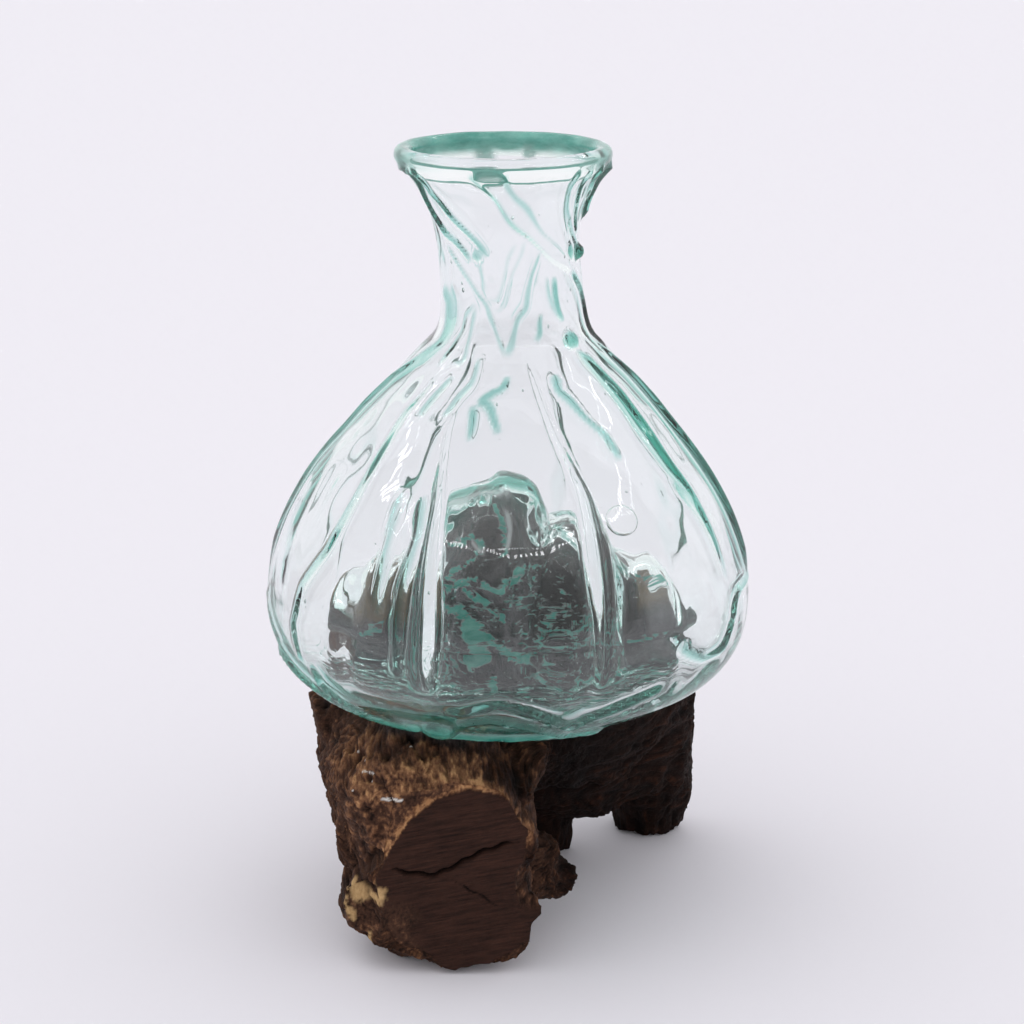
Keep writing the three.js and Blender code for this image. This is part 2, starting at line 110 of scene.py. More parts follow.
# Ribs pressed out of the wall: azimuth from -Y towards +X and height along each, its half widths and
# its heights at even steps along it, and how deep its colour is
RIBS = [
    ([(-58, 193), (-73, 186), (-86, 179), (-90, 173), (-96, 150), (-93, 138), (-92, 121), (-87, 108)],
     (2.4, 2.7), (0, 1.1, 1.4, 1.5, 1.5, 1.3, 0), 0.8),
    ([(-45, 186), (-46, 181), (-50, 174), (-50, 160), (-49, 150), (-51, 135), (-57, 122), (-59, 108), (-57, 96)],
     (0.9, 1.1, 1.3, 1.6), (0, 0.8, 1.1, 1.3, 1.4, 1.4, 1.2, 0), 0.2),
    ([(-26, 177), (-26, 171), (-24, 164), (-21, 151), (-20, 139), (-19, 122), (-19, 98)],
     (0.7, 0.8, 1.2, 1.9, 2.7, 2.9), (0, 0.8, 1.1, 1.6, 2.6, 3.3, 3.5, 3.5, 3.2, 0), 0.05),
    ([(8, 192), (12, 184), (14, 178), (17, 169), (20, 161), (22, 154), (22, 139), (22, 122), (21, 99)],
     (0.7, 0.8, 0.8, 1.0, 1.6, 2.3, 2.1, 1.3, 1.1), (0, 0.7, 0.8, 1.0, 1.4, 2.4, 2.9, 2.3, 1.2, 1.1, 0), 0.04),
    ([(49, 190), (53, 185), (57, 178), (58, 168), (59, 158), (61, 150), (63, 136), (64, 120)],
     (2.1, 2.4, 2.2, 1.7, 1.3), (1.0, 1.9, 2.1, 2.0, 1.5, 0.9, 0), 0.85),
    ([(74, 194), (78, 188), (84, 180), (84, 170), (83, 160), (82, 148), (82, 134), (82, 122), (86, 112)],
     (1.8, 2.3, 2.7), (0, 1.5, 2.1, 2.2, 2.2, 2.1, 1.8, 0), 0.85),
    ([(122, 186), (123, 172), (124, 158), (126, 142), (128, 126), (130, 110), (130, 96)],
     (1.4, 2.4), (0, 1.8, 2.2, 2.2, 1.8, 0), 0.1),
    ([(158, 184), (160, 170), (162, 154), (164, 138), (166, 122), (168, 106), (168, 92)],
     (1.4, 2.5), (0, 2.0, 2.6, 2.6, 2.0, 0), 0.05),
    ([(-160, 186), (-159, 172), (-157, 156), (-155, 140), (-153, 124), (-152, 108), (-152, 94)],
     (1.4, 2.3), (0, 1.8, 2.3, 2.3, 1.8, 0), 0.05),
    ([(-122, 184), (-123, 170), (-125, 154), (-126, 138), (-127, 122), (-128, 106), (-128, 93)],
     (1.4, 2.4), (0, 1.9, 2.4, 2.4, 1.9, 0), 0.1),
]

# Strings and folds of glass on the wall: path, half width or its two ends, height, how deep their colour is
TRAILS = [
    ([(-13, 251), (-6, 245), (3, 238), (13, 232), (26, 226), (42, 220), (57, 215)], (4.4, 1.6), 0.9, 0.0),
    ([(57, 215), (71, 209), (78, 203), (80, 197), (85, 191), (86, 188)], 1.0, 1.2, 0.4),
    ([(-87, 248), (-61, 245), (-68, 237), (-65, 232), (-56, 227), (-45, 225), (-36, 222), (-31, 219)], 1.0, 1.4, 0.55),
    ([(-71, 251), (-54, 245), (-54, 240), (-49, 237), (-43, 233), (-33, 229), (-23, 225), (-16, 221)], 0.9, 1.3, 0.55),
    ([(-57, 223), (-45, 218), (-36, 214), (-27, 209), (-20, 206), (-15, 200), (-10, 195), (-5, 191)], 0.6, 0.9, 0.3),
    ([(-5, 191), (-1, 194), (1, 198), (4, 202), (11, 205), (13, 210), (17, 215), (26, 222)], (1.1, 0.5), 0.9, 0.35),
    ([(7, 225), (0, 221), (-5, 214), (-9, 209), (-13, 207), (-20, 208)], 0.55, 0.55, 0.12),
    ([(14, 226), (11, 222), (1, 215), (-2, 211), (-6, 206), (-11, 204), (-16, 204)], 0.55, 0.55, 0.12),
    ([(37, 214), (36, 208), (38, 203), (43, 200)], 0.9, 1.1, 0.7),
    ([(30, 214), (30, 209), (34, 204), (41, 200)], 0.6, 0.7, 0.3),
    ([(48, 191), (49, 188), (53, 187)], 1.4, 1.2, 0.6),
    ([(44, 252), (44, 242), (48, 235), (58, 228), (72, 221)], 0.9, 1.0, 0.3),
    ([(54, 250), (55, 242), (62, 233), (70, 225)], 0.8, 0.9, 0.3),
    ([(80, 251), (84, 246), (88, 240), (89, 235), (88, 229)], (2.4, 1.4), 2.4, 0.9),
    ([(72, 251), (64, 245), (76, 239), (80, 236)], 1.2, 1.4, 0.5),
    ([(23, 203), (20, 200), (21, 197), (16, 195)], 0.9, 0.8, 0.5),
    ([(-30, 206), (-39, 202), (-41, 197), (-45, 194), (-48, 187)], 0.7, 0.8, 0.25),
    ([(-30, 205), (-33, 198), (-34, 193), (-31, 189), (-40, 188)], 0.7, 0.8, 0.25),
    ([(-71, 209), (-58, 205), (-58, 198), (-62, 192), (-71, 186)], 2.6, 1.0, 0.45),
    ([(-34, 185), (-39, 179), (-42, 173)], 1.1, 1.2, 0.3),
    ([(-22, 190), (-21, 184), (-26, 180), (-29, 175), (-31, 174)], 1.0, 1.2, 0.3),
    ([(-33, 154), (-34, 151), (-33, 146), (-32, 139), (-32, 127), (-31, 120)], 1.2, 1.6, 0.3),
    ([(-26, 154), (-24, 144), (-26, 129), (-26, 119), (-25, 103)], 1.2, 1.5, 0.3),
    ([(23, 186), (22, 182), (27, 179), (31, 174), (37, 169), (39, 162)], 1.1, 1.2, 0.6),
    ([(56, 154), (60, 146), (63, 139), (62, 134)], 1.2, 1.3, 0.3),
    ([(87, 115), (71, 116), (67, 114), (64, 108), (60, 101), (51, 101), (44, 106), (40, 112)], 1.2, 1.4, 0.5),
    ([(-3, 186), (-4, 183), (-11, 181), (-15, 179), (-10, 178), (-8, 175), (-5, 171)], 1.2, 1.2, 0.6),
    ([(-18, 178), (-16, 174), (-16, 169)], 1.1, 1.2, 0.6),
    ([(-84, 112), (-78, 105), (-70, 99), (-63, 92), (-59, 87)], 2.2, 0.9, 0.45),
    ([(-72, 97), (-62, 91), (-52, 86), (-42, 82.5), (-32, 81), (-24, 81)], (1.7, 2.4), 1.6, 0.9),
    ([(-22, 80), (-12, 79), (-2, 78.5), (8, 78), (18, 78), (30, 79.5)], (2.2, 1.4), 1.8, 0.9),
    ([(-52, 98), (-51, 92), (-47, 87), (-40, 84)], 1.4, 1.4, 0.8),
    ([(-16, 82), (-10, 88), (-4, 90), (4, 87), (12, 82), (18, 79)], 1.3, 1.3, 0.8),
    ([(-15, 93), (-11, 92), (-2, 97), (4, 94), (10, 90), (14, 86)], 1.4, 1.4, 0.4),
    ([(14, 84), (18, 86), (19, 88), (31, 93), (39, 96)], 1.6, 1.4, 0.3),
    ([(150, 214), (158, 206), (170, 199), (-176, 193)], 0.9, 1.0, 0.3),
    ([(-140, 222), (-150, 212), (-158, 204), (-150, 196)], 0.9, 1.0, 0.3),
]

# A string lies flatter than a rib. One that is wide enough is a ribbon, with colour along its edges only,
# and those on the bottom rim keep their whole height.
STRING_FLATNESS, RIBBON_FLATNESS, RIBBON_WIDTH = 2.6, 6.0, 4.0
RIM_TOP = 100
STRING_HEIGHT, STRING_COLOUR = 0.72, 0.8
STRING_END, STRING_SWELL, SWELL_PACE = 3.0, 0.16, 0.35
RIBBON_EDGES = (1.8, 3.2)
RIB_FLATNESS, RIB_END = 2.0, 2.0

# Beads where a string of glass ends: azimuth, height, half width, how proud, how deep its colour is
BEADS = [
    (46, 194, 2.6, 2.0, 0.7),
    (72, 220, 2.2, 2.2, 0.85),
    (-25, 221, 1.6, 0.9, 0.35),
    (23, 184, 2.0, 1.2, 0.25),
    (-19, 82.5, 5.2, 2.9, 0.8),
]

# Air bubbles in the wall: the seed of their draws, their heights and sizes, and how far they are drawn out
BUBBLE_SEED = 7
BUBBLE_HEIGHTS, BUBBLE_SIZES, BUBBLE_STRETCH = (92, 236), (0.22, 0.5), (1, 2.2)

# A flat bubble in the wall: azimuth, height, its three half sizes and how much its face looks up
FLAT_BUBBLE = (32, 147, 5.6, 4.8, 0.2)
FLAT_BUBBLE_RISE = 0.55

# Milky smears that the first contact with the wood left on the glass floor: path and half width
SMEARS = [
    ([(-22, -2, 105), (-15.5, -8, 102), (-9, -12, 95), (-1, -13.5, 90), (7, -12.6, 85)], 2.2),
    ([(-14, -9, 100), (-10, -11, 93), (-9, -12, 87)], 1.2),
    ([(-19, 0.4, 123), (-12, -4, 127.5), (-6, -7, 124), (-12, -6, 120), (-19, -3, 115)], 1.1),
    ([(-22, -1, 108), (-12, -7.5, 113.4), (-3, -9.6, 110.7), (4, -7.6, 113.5), (10, -3, 117)], 1.4),
    ([(-17, -4, 111), (-9, -8, 106), (-2, -10, 101)], 1.0),
    ([(-2.6, -2.9, 137), (-2, -5.5, 129.5), (-1.6, -7.3, 122)], 0.8),
    ([(-48, 19, 84), (-41, 20, 89), (-36, 22, 93)], 1.6),
    ([(33, 9.4, 110), (44, 20.5, 107), (50.5, 21.7, 102.5)], 1.4),
    ([(17, -6, 89), (30, -1.6, 91), (43.5, 9, 86), (52, 12.5, 86)], 1.3),
    ([(12, -10, 96), (24, -4, 98), (36, 4, 96)], 0.9),
    ([(10, -12, 81), (16, -18, 77), (20, -26, 75)], 1.0),
    ([(-6, -16, 82), (-5, -22, 77), (-6, -30, 75)], 0.8),
    ([(-34, 2, 79), (-28, -8, 77), (-30, -20, 75)], 1.2),
    ([(26, -14, 78), (36, -8, 79), (44, -2, 80)], 1.0),
]

# Solid green glass over the top of the knob: path and half width
KNOB_ARC = ([(-23, 8, 128), (-18, 8, 134), (-11, 9, 139), (-4, 9, 140), (4, 10, 137), (9, 11, 132)], 3.0)

# Milky drips down the back wall: azimuth, half width and lowest height
DRIPS = [(-168, 3.4, 243), (164, 2.6, 245)]
DRIP_TOP = 250
LIP_MILK_HEIGHT = 246.3

# How far out the wood reaches under the glass
WOOD_RADIUS = 60

# Frosted streaks on the knob: path and half width
FROSTED = [
    ([(-19, 5, 136), (-13, 3, 140), (-6, 2.5, 141), (2, 3, 139)], 1.3),
    ([(1.5, -5, 136), (1, -8, 130), (-0.5, -9.5, 124)], 0.9),
    ([(-13, -6, 126), (-6, -8, 123)], 0.7),
]

# Root: where it was sawn, where its finer faces end, and its limbs as the ends of their middle line and
# their half width
SAWN_Y = -60.0
FINE_Y = -21.0
LIMBS = [
    ((-31, 32, 55), (-15.5, -68, 42), 31),
    ((-26, -8, 34), (-19, -68, 21), 29),
    ((-62, 2, 57), (58, 42, 60), 32),
    ((42, 36, 80), (48, 61, -4), 17),
    ((-8, 24, 72), (-3, 43, -4), 28),
    ((0, -34, 26), (22, -23, 20), 12),
    ((-47, -38, 30), (-52.5, -40, 48), 5),
    ((-4, 12, 80), (-4, 12, 142), 22),
    ((16, 18, 80), (16, 18, 124), 20),
    ((-39, 39, 74), (-39, 39, 105), 17),
    ((37, 32, 74), (37, 32, 106), 19),
]

# How far the left end shifts towards +X at each height, and how far the log's lower left edge is lifted
LEFT_END = ((20, 30, 40, 55, 70, 80), (7, 6.5, 4, 0, -2.5, 0))
EDGE_LIFT = 4.5

# Pits in the bark: how deep they are, how they are drawn out, and the place and half width of each
PIT_DEPTH, PIT_SHAPE = 2.6, (1.0, 0.75, 0.6)
PITS = [
    (-55.5, -22.5, 66.1, 3.4),
    (-47.7, -40.1, 67.1, 2.0),
    (-50.2, -34.3, 67.2, 1.6),
    (-38.3, -45.7, 69.3, 1.4),
    (-31.3, -41.1, 73.2, 2.4),
    (-58.1, -5.3, 71.7, 2.8),
    (-38.4, -50, 46.9, 1.6),
    (-45.3, -50, 68.8, 1.3),
    (-43.4, -50, 61.6, 1.2),
]

# Pale wood where the bark tore off low on the left: path and half width
FLAKES = [
    ([(-51.5, -54, 33.5), (-50.5, -55, 30), (-48.5, -58, 27), (-46, -59, 24.5), (-43, -60, 24.5),
      (-40.5, -60, 28)], 1.7),
    ([(-53, -50, 27), (-51.5, -53, 22), (-48.5, -56, 17)], 1.0),
    ([(-46, -58, 12), (-44, -58, 9)], 0.8),
]

# Chips of glass on the bark: path and half width
CHIPS = [
    ([(-38.6, -56.3, 57.9), (-35.7, -58, 58.6), (-32.9, -60, 58.7)], 0.36),
    ([(-48.2, -36.9, 67.9)], 0.3),
    ([(-46.6, -43.9, 66.6)], 0.3),
    ([(-45.6, -48.1, 64.6), (-43.4, -50.1, 64)], 0.26),
    ([(-47.9, -50.4, 58.1)], 0.28),
    ([(-29.9, -45.5, 71.5)], 0.3),
    ([(-43.4, -51.9, 62.4)], 0.28),
]

# On the sawn face, as x and z: its outline, how many of its corners have the golden rim, and two cracks
# with their half width and depth
SAWN_OUTLINE = [
    (-37.1, 41.1), (-30.5, 51.8), (-21.5, 59.4), (-12.3, 62.4), (-3.1, 60.7), (4.6, 55.8), (6.5, 50.5),
    (5.3, 44.5), (5, 34), (7, 26), (12.1, 26.7), (12.8, 18.6), (9, 13.8), (-0.3, 7), (-6.3, 3.6),
    (-15.7, -2), (-21.9, 2.9), (-33.5, 8.4), (-38.3, 17.2), (-41.3, 30.8),
]
GOLDEN_CORNERS = 8
CRACKS = [
    ([(-36.2, 36.1), (-31.9, 34.8), (-22.6, 33.8), (-16.4, 37.1), (-8.7, 41.5), (0.6, 44.8), (4.3, 45.5)], 0.5, 3.0),
    ([(-16.4, 31.8), (-10.2, 28.1), (-5.6, 25.4), (-0.9, 21.6)], 0.28, 0.8),
]

# Soft round marks on the wood: middle and half sizes
LOG = ((-30, -50, 60), (30, 34, 26))
# Painted shade between the log and the right leg, under the bowl
LEG_GAP_SHADE = ((20, -2, 50), (20, 24, 26))
# Painted shade in the hollow right of the sawn face
HOLLOW = ((9, -56, 36), (5.5, 7, 10))
DARKER_TOP = ((-17, -37, 73), (22, 13, 10))
DARKER_SHOULDER = ((1, -45, 61), (9, 15, 10))

# The room: how bright the glass sees it, how bright the backdrop is, and where its dark part begins and ends
SEEN_LIGHT, BACKDROP_LIGHT = 0.985, 0.863
ROOM_SPREAD, ROOM_TOP = (0.15, 0.75), (0.75, 0.35)
# A row of small lamps round the tent: how many, their share of the row, its height and half width, and their glow
LAMPS, LAMP_SHARE, LAMP_HEIGHT, LAMP_BAND, LAMP_GLOW = 120, 0.2, 0.66, 0.008, 14.0
SOFTBOX_WAY, SOFTBOX_ANGLE = (0.45, 0.35, -1), 75
FLOOR_SIZE = 7.0

# The photograph's camera: its place in millimetres, degrees down, and its long lens for a 36 mm sensor
CAMERA_PLACE, CAMERA_DOWN, CAMERA_LENS, SENSOR = (1.24, -804.0, 363.0), 15.9, 36.0 * 2600 / 1024, 36.0
BOUNCES, GLOSSY_BOUNCES = 28, 20

def linear(hex_colour):
    """A linear colour from an sRGB hex value such as "#ede8ef"."""
    values = [int(hex_colour[i : i + 2], 16) / 255 for i in (1, 3, 5)]
    return tuple(v / 12.92 if v <= 0.04045 else ((v + 0.055) / 1.055) ** 2.4 for v in values)


def smoothstep(value, low, high):
    share = np.clip((value - low) / (high - low), 0, 1)
    return share * share * (3 - 2 * share)


def lumps(points, size, seed=0.0):
    """Smooth noise from -1 to 1 at points, with lumps of that size."""
    scaled = np.asarray(points, float) / size + seed
    return np.array([noise.noise(p) for p in scaled.tolist()])


def fold(path, spacing=1.0):
    """A smooth line through the points of a path, cut finely."""
    points = np.array(path, float)
    lengths = np.r_[0, np.cumsum(np.linalg.norm(np.diff(points, axis=0), axis=1))]
    count = max(int(lengths[-1] / spacing), 4)
    at = np.linspace(0, lengths[-1], count)
    line = np.stack([np.interp(at, lengths, points[:, k]) for k in range(points.shape[1])], 1)
    for _ in range(3):
        line[1:-1] = (line[:-2] + 2 * line[1:-1] + line[2:]) / 4
    return line


def distance_to(points, line):
    """The distance from each point to a line, and how far along the line its nearest place is."""
    best = np.full(len(points), 1e9)
    along = np.zeros(len(points))
    steps = np.linalg.norm(np.diff(line, axis=0), axis=1)
    travelled = 0.0
    for start, end, step in zip(line[:-1], line[1:], steps):
        way = end - start
        share = np.clip((points - start) @ way / max(step * step, 1e-9), 0, 1)
        away = np.linalg.norm(points - start - share[:, None] * way, axis=1)
        nearer = away < best
        best[nearer] = away[nearer]
        along[nearer] = travelled + share[nearer] * step
        travelled += step
    return best, along, travelled


def streak(points, line, width, power=2):
    """1 on a line, fading with the distance from it; a high power gives a firm edge."""
    return np.exp(-((distance_to(points, line)[0] / width) ** power))


def mark(points, place, rough=0.0):
    """1 in the middle of a soft round mark, and 0 well outside it."""
    middle, sizes = place
    return np.exp(-((np.linalg.norm((points - middle) / sizes, axis=1) + rough) ** 4))


def seat_over(points):
    """How high the glass lets the wood reach at each point."""
    x, y, _ = points.T
    seat = floor_height(x, y, -SEAT_GAP, -SEAT_GAP)
    return np.where(np.hypot(x, y) < BOWL_RADIUS + SEAT_GAP, seat, NO_GLASS)


def inside(x, z, corners):
    """Which points of a face lie in an outline."""
    held = np.zeros(len(x), bool)
    for (x0, z0), (x1, z1) in zip(corners, corners[1:] + corners[:1]):
        if z0 == z1:
            continue
        crosses = (z0 > z) != (z1 > z)
        held ^= crosses & (x < (x1 - x0) * (z - z0) / (z1 - z0) + x0)
    return held


def outline_table():
    """The wall's outline as radius, rise and direction, through the stations."""
    stations = [np.array(station, float) for station in OUTLINE]
    stations = [2 * stations[0] - stations[1], *stations, 2 * stations[-1] - stations[-2]]
    points = []
    for corners in zip(stations, stations[1:], stations[2:], stations[3:]):
        times = np.cumsum([0, *(np.linalg.norm(b - a) ** 0.5 for a, b in zip(corners, corners[1:]))])
        now = np.linspace(times[1], times[2], OUTLINE_STEPS, endpoint=False)[:, None]
        # Each round blends neighbours, until one smooth stretch is left
        for reach, first in ((1, 0), (2, 0), (1, 1)):
            blends = []
            for k, (a, b) in enumerate(zip(corners, corners[1:]), start=first):
                share = (now - times[k]) / (times[k + reach] - times[k])
                blends.append((1 - share) * a + share * b)
            corners = blends
        points.extend(corners[0])
    points.append(stations[-2])
    points = np.array(points)
    lengths = np.r_[0, np.cumsum(np.linalg.norm(np.diff(points, axis=0), axis=1))]
    along = np.gradient(points, lengths, axis=0)
    along /= np.linalg.norm(along, axis=1, keepdims=True)
    return points, along, lengths / lengths[-1]


WALL_POINTS, WALL_ALONG, WALL_SHARE = outline_table()


def wall_at(share):
    """Radius, rise and direction of the wall at a share of its length."""
    columns = [WALL_POINTS[:, 0], WALL_POINTS[:, 1], WALL_ALONG[:, 0], WALL_ALONG[:, 1]]
    return [np.interp(share, WALL_SHARE, column) for column in columns]


def wall_radius(height):
    """Outside radius at a height, above or below the widest ring."""
    height = np.asarray(height, float)
    below = np.clip((WIDEST - height) / BOWL_DEPTH, 0, 1)
    lower = BOWL_RADIUS * (1 - below**BOWL_FULLNESS) ** (1 / BOWL_FULLNESS)
    upper = np.interp(height - WIDEST, WALL_POINTS[:, 1], WALL_POINTS[:, 0])
    return np.where(height < WIDEST, lower, upper)


def sway(height):
    """How far the neck has swayed towards +X."""
    rise = np.asarray(height, float) - WIDEST
    return NAPE_SWAY * smoothstep(rise, 0, NAPE_RISE) + (LIP_SWAY - NAPE_SWAY) * smoothstep(rise, NAPE_RISE, LIP_RISE)


def on_wall(azimuth, height):
    """A point on the plain outside of the glass."""
    turn = np.radians(np.asarray(azimuth, float) - 90)
    radius = wall_radius(height)
    return np.stack([radius * np.cos(turn) + sway(height), radius * np.sin(turn), height + 0 * turn], -1)


def floor_height(x, y, inset, lift):
    """Height of the glass floor; inset moves it inwards and lift moves it up."""
    from_axis = np.hypot(x, y) / (BOWL_RADIUS - inset)
    curve = np.maximum(1 - from_axis**BOWL_FULLNESS, 0) ** (1 / BOWL_FULLNESS)
    fade = np.maximum(1 - from_axis**DOME_FADE, 0)
    lifted = 0
    for dome_x, dome_y, width, rise in DOMES:
        away = np.hypot(x - dome_x, y - dome_y) / (width + inset)
        lifted = lifted + (rise * np.exp(-(away**DOME_STEEPNESS))) ** DOME_BLEND
    return WIDEST - (BOWL_DEPTH - lift) * curve + fade * lifted ** (1 / DOME_BLEND)


def even_radii(inset, lift):
    """Radii of the rings of the floor, as close together up the domes as on the flat."""
    radii = np.linspace(0, BOWL_RADIUS - inset, 900)
    slide = np.maximum(1 - radii / CENTRED_RADIUS, 0)[:, None]
    turns = np.linspace(0, 2 * np.pi, 36, endpoint=False)
    x = KNOB_X * slide + radii[:, None] * np.cos(turns)
    y = KNOB_Y * slide + radii[:, None] * np.sin(turns)
    z = floor_height(x, y, inset, lift)
    steps = np.sqrt(np.diff(x, axis=0) ** 2 + np.diff(y, axis=0) ** 2 + np.diff(z, axis=0) ** 2)
    travelled = np.r_[0, np.cumsum(steps.mean(1))]
    return radii, travelled / travelled[-1]


def rib_azimuth(rib, height):
    path = np.array(rib[0], float)
    turns = np.degrees(np.unwrap(np.radians(path[:, 0])))
    return np.interp(-height, -path[:, 1], turns)


def gathered_turns(count, height, pull):
    """Turns of a ring's points, gathered where the ribs stand and towards the front."""
    grid = np.linspace(-180, 180, 1441)
    crowd = 1 + FRONT_CROWD * np.cos(np.radians(grid))
    for rib in RIBS:
        apart = (grid - rib_azimuth(rib, height) + 180) % 360 - 180
        crowd += pull * np.exp(-((apart / RIB_CROWD_DEGREES) ** 2))
    total = np.r_[0, np.cumsum((crowd[1:] + crowd[:-1]) / 2)]
    turns = np.interp(np.arange(count) / count * total[-1], total, grid)
    return np.radians(turns - 90)


def spun_skin(steps):
    """The plain skin of the glass: a strip of five stretches, cut into rings and spun about the axis."""
    mesh = bmesh.new()
    travel = mesh.verts.layers.float.new("travel")
    end = mesh.verts.new((0, 0, 0))
    end[travel] = 0
    for stop, (reach, rings) in enumerate(zip(STRIP_ENDS, RINGS), start=1):
        corner = mesh.verts.new((reach, 0, stop))
        corner[travel] = stop
        edge = mesh.edges.new((end, corner))
        bmesh.ops.subdivide_edges(mesh, edges=[edge], cuts=rings - 1)
        end = max(mesh.verts, key=lambda vertex: vertex[travel])
    bmesh.ops.spin(
        mesh,
        geom=mesh.verts[:] + mesh.edges[:],
        cent=(0, 0, 0),
        axis=(0, 0, 1),
        angle=2 * math.pi,
        steps=steps,
        use_merge=True,
    )
    bmesh.ops.remove_doubles(mesh, verts=mesh.verts, dist=1e-4)
    bmesh.ops.recalc_face_normals(mesh, faces=mesh.faces)
    return mesh


def blown_positions(places, travel, steps):
    """Moves the points of the spun skin onto the slumped carafe, in millimetres."""
    section = np.clip(np.floor(travel + 1e-6), 0, 4).astype(int)
    share = np.clip(travel - section, 0, 1)
    spoke = np.round((np.arctan2(places[:, 1], places[:, 0]) / (2 * np.pi)) % 1 * steps).astype(int) % steps
    out = np.zeros_like(places)
    floors = {UNDER: (0, 0), BOTTOM: (WALL, FLOOR)}
    spread_radii = {part: even_radii(*moved) for part, moved in floors.items()}
    for value in np.unique(np.round(travel, 5)):
        ring = np.abs(travel - value) < 1e-4
        part, along = section[ring][0], share[ring][0]
        if part in floors:
            radii, travelled = spread_radii[part]
            radius = np.interp(along if part == UNDER else 1 - along, travelled, radii)
            turns = gathered_turns(steps, WIDEST, RIB_CROWD * smoothstep(radius, *CROWD_RADII))[spoke[ring]]
            slide = max(1 - radius / CENTRED_RADIUS, 0)
            x = KNOB_X * slide + radius * np.cos(turns)
            y = KNOB_Y * slide + radius * np.sin(turns)
            out[ring] = np.stack([x, y, floor_height(x, y, *floors[part])], 1)
            continue
        if part == OUTSIDE:
            spread = np.interp(along, *OUTSIDE_SPREAD)
            radius, rise, _, _ = wall_at(spread)
        elif part == LIP:
            turn = math.radians(np.interp(along, [0, 1], LIP_ARC))
            radius = LIP_RADIUS - LIP_BEAD + LIP_BEAD * math.cos(turn)
            rise = LIP_RISE + LIP_BEAD * math.sin(turn)
        else:
            radius, rise, out_way, up_way = wall_at(INSIDE_TOP - INSIDE_LENGTH * along)
            radius, rise = radius - WALL * up_way, rise + WALL * out_way
        height = WIDEST + rise
        pull = RIB_CROWD * (1 - smoothstep(height, *CROWD_HEIGHTS))
        turns = gathered_turns(steps, min(height, HIGHEST_RIB), pull)[spoke[ring]]
        out[ring] = np.stack([radius * np.cos(turns) + sway(height), radius * np.sin(turns), height + 0 * turns], 1)
    return out, section


def along_rows(values, share):
    """What a row of values given at even steps comes to at a share of the way."""
    return np.interp(share, np.linspace(0, 1, len(values)), values)


def laid_on(points, spots):
    """How far the ribs, strings and beads stand out of the wall at some of the points, and how deep
    their colour is."""
    proud = np.zeros(len(points))
    deep = np.zeros(len(points))
    near = points[spots]
    rows = [(*rib, RIB_FLATNESS, RIB_END) for rib in RIBS]
    for path, width, height, colour in TRAILS:
        widths = width if isinstance(width, tuple) else (width, width)
        ribbon = widths[0] > RIBBON_WIDTH
        flatness = RIBBON_FLATNESS if ribbon else STRING_FLATNESS
        on_rim = max(place for _, place in path) < RIM_TOP
        height = height if on_rim or ribbon else STRING_HEIGHT * height
        rows.append((path, widths, (height, height), STRING_COLOUR * colour, flatness, STRING_END))
    for path, widths, heights, colour, flatness, end in rows:
        turns = np.degrees(np.unwrap(np.radians([azimuth for azimuth, _ in path])))
        dense = fold(np.stack([turns, [rise for _, rise in path]], 1))
        line = on_wall(dense[:, 0], dense[:, 1])
        reach = 4 * max(widths)
        close = ((near > line.min(0) - reach) & (near < line.max(0) + reach)).all(1)
        away, along, length = distance_to(near[close], line)
        share = along / length
        taper = np.clip(np.minimum(along, length - along) / end, 0, 1) ** 0.6
        swell = 1 + STRING_SWELL * np.sin(along * SWELL_PACE + path[0][0]) * (flatness > RIB_FLATNESS)
        shape = np.exp(-((away / (along_rows(widths, share) * swell)) ** flatness)) * taper
        height = along_rows(heights, share)
        here = spots[close]
        proud[here] = np.maximum(proud[here], height * shape)
        if flatness == RIBBON_FLATNESS:
            wide = smoothstep(along_rows(widths, share), *RIBBON_EDGES)
            deep[here] = np.maximum(deep[here], 1.3 * wide * shape * (1 - shape))
        else:
            deep[here] = np.maximum(deep[here], colour * height / max(heights) * shape)
    for azimuth, height, width, lift, colour in BEADS:
        away = np.linalg.norm(near - on_wall(azimuth, height), axis=1)
        shape = np.sqrt(np.maximum(1 - (away / (width * 1.15)) ** 2, 0))
        proud[spots] = np.maximum(proud[spots], lift * shape)
        deep[spots] = np.maximum(deep[spots], colour * shape)
    return proud, deep


def vertex_values(mesh, name):
    """The place, "co", or the normal of every vertex."""
    values = np.zeros(len(mesh.vertices) * 3)
    mesh.vertices.foreach_get(name, values)
    return values.reshape(-1, 3)


def move_vertices(mesh, places):
    mesh.vertices.foreach_set("co", np.ascontiguousarray(places, float).ravel())
    mesh.update()


def keep_values(mesh, **layers):
    """Stores shares from 0 to 1, or vectors, at the vertices for the material to read."""
    for name, values in layers.items():
        plain = values.ndim == 1
        values = np.asarray(np.clip(values, 0, 1) if plain else values, np.float32)
        layer = mesh.attributes.new(name, "FLOAT" if plain else "FLOAT_VECTOR", "POINT")
        layer.data.foreach_set("value" if plain else "vector", values.ravel())


@contextmanager
def edited(mesh):
    """A mesh opened for bmesh operators, which takes their result in at the end."""
    opened = bmesh.new()
    opened.from_mesh(mesh)
    yield opened
    opened.to_mesh(mesh)
    opened.free()


def nearest(line, surface):
    """Moves each point of a line onto the nearest point of a surface."""
    return np.array([surface[np.argmin(((surface - place) ** 2).sum(1))] for place in line])


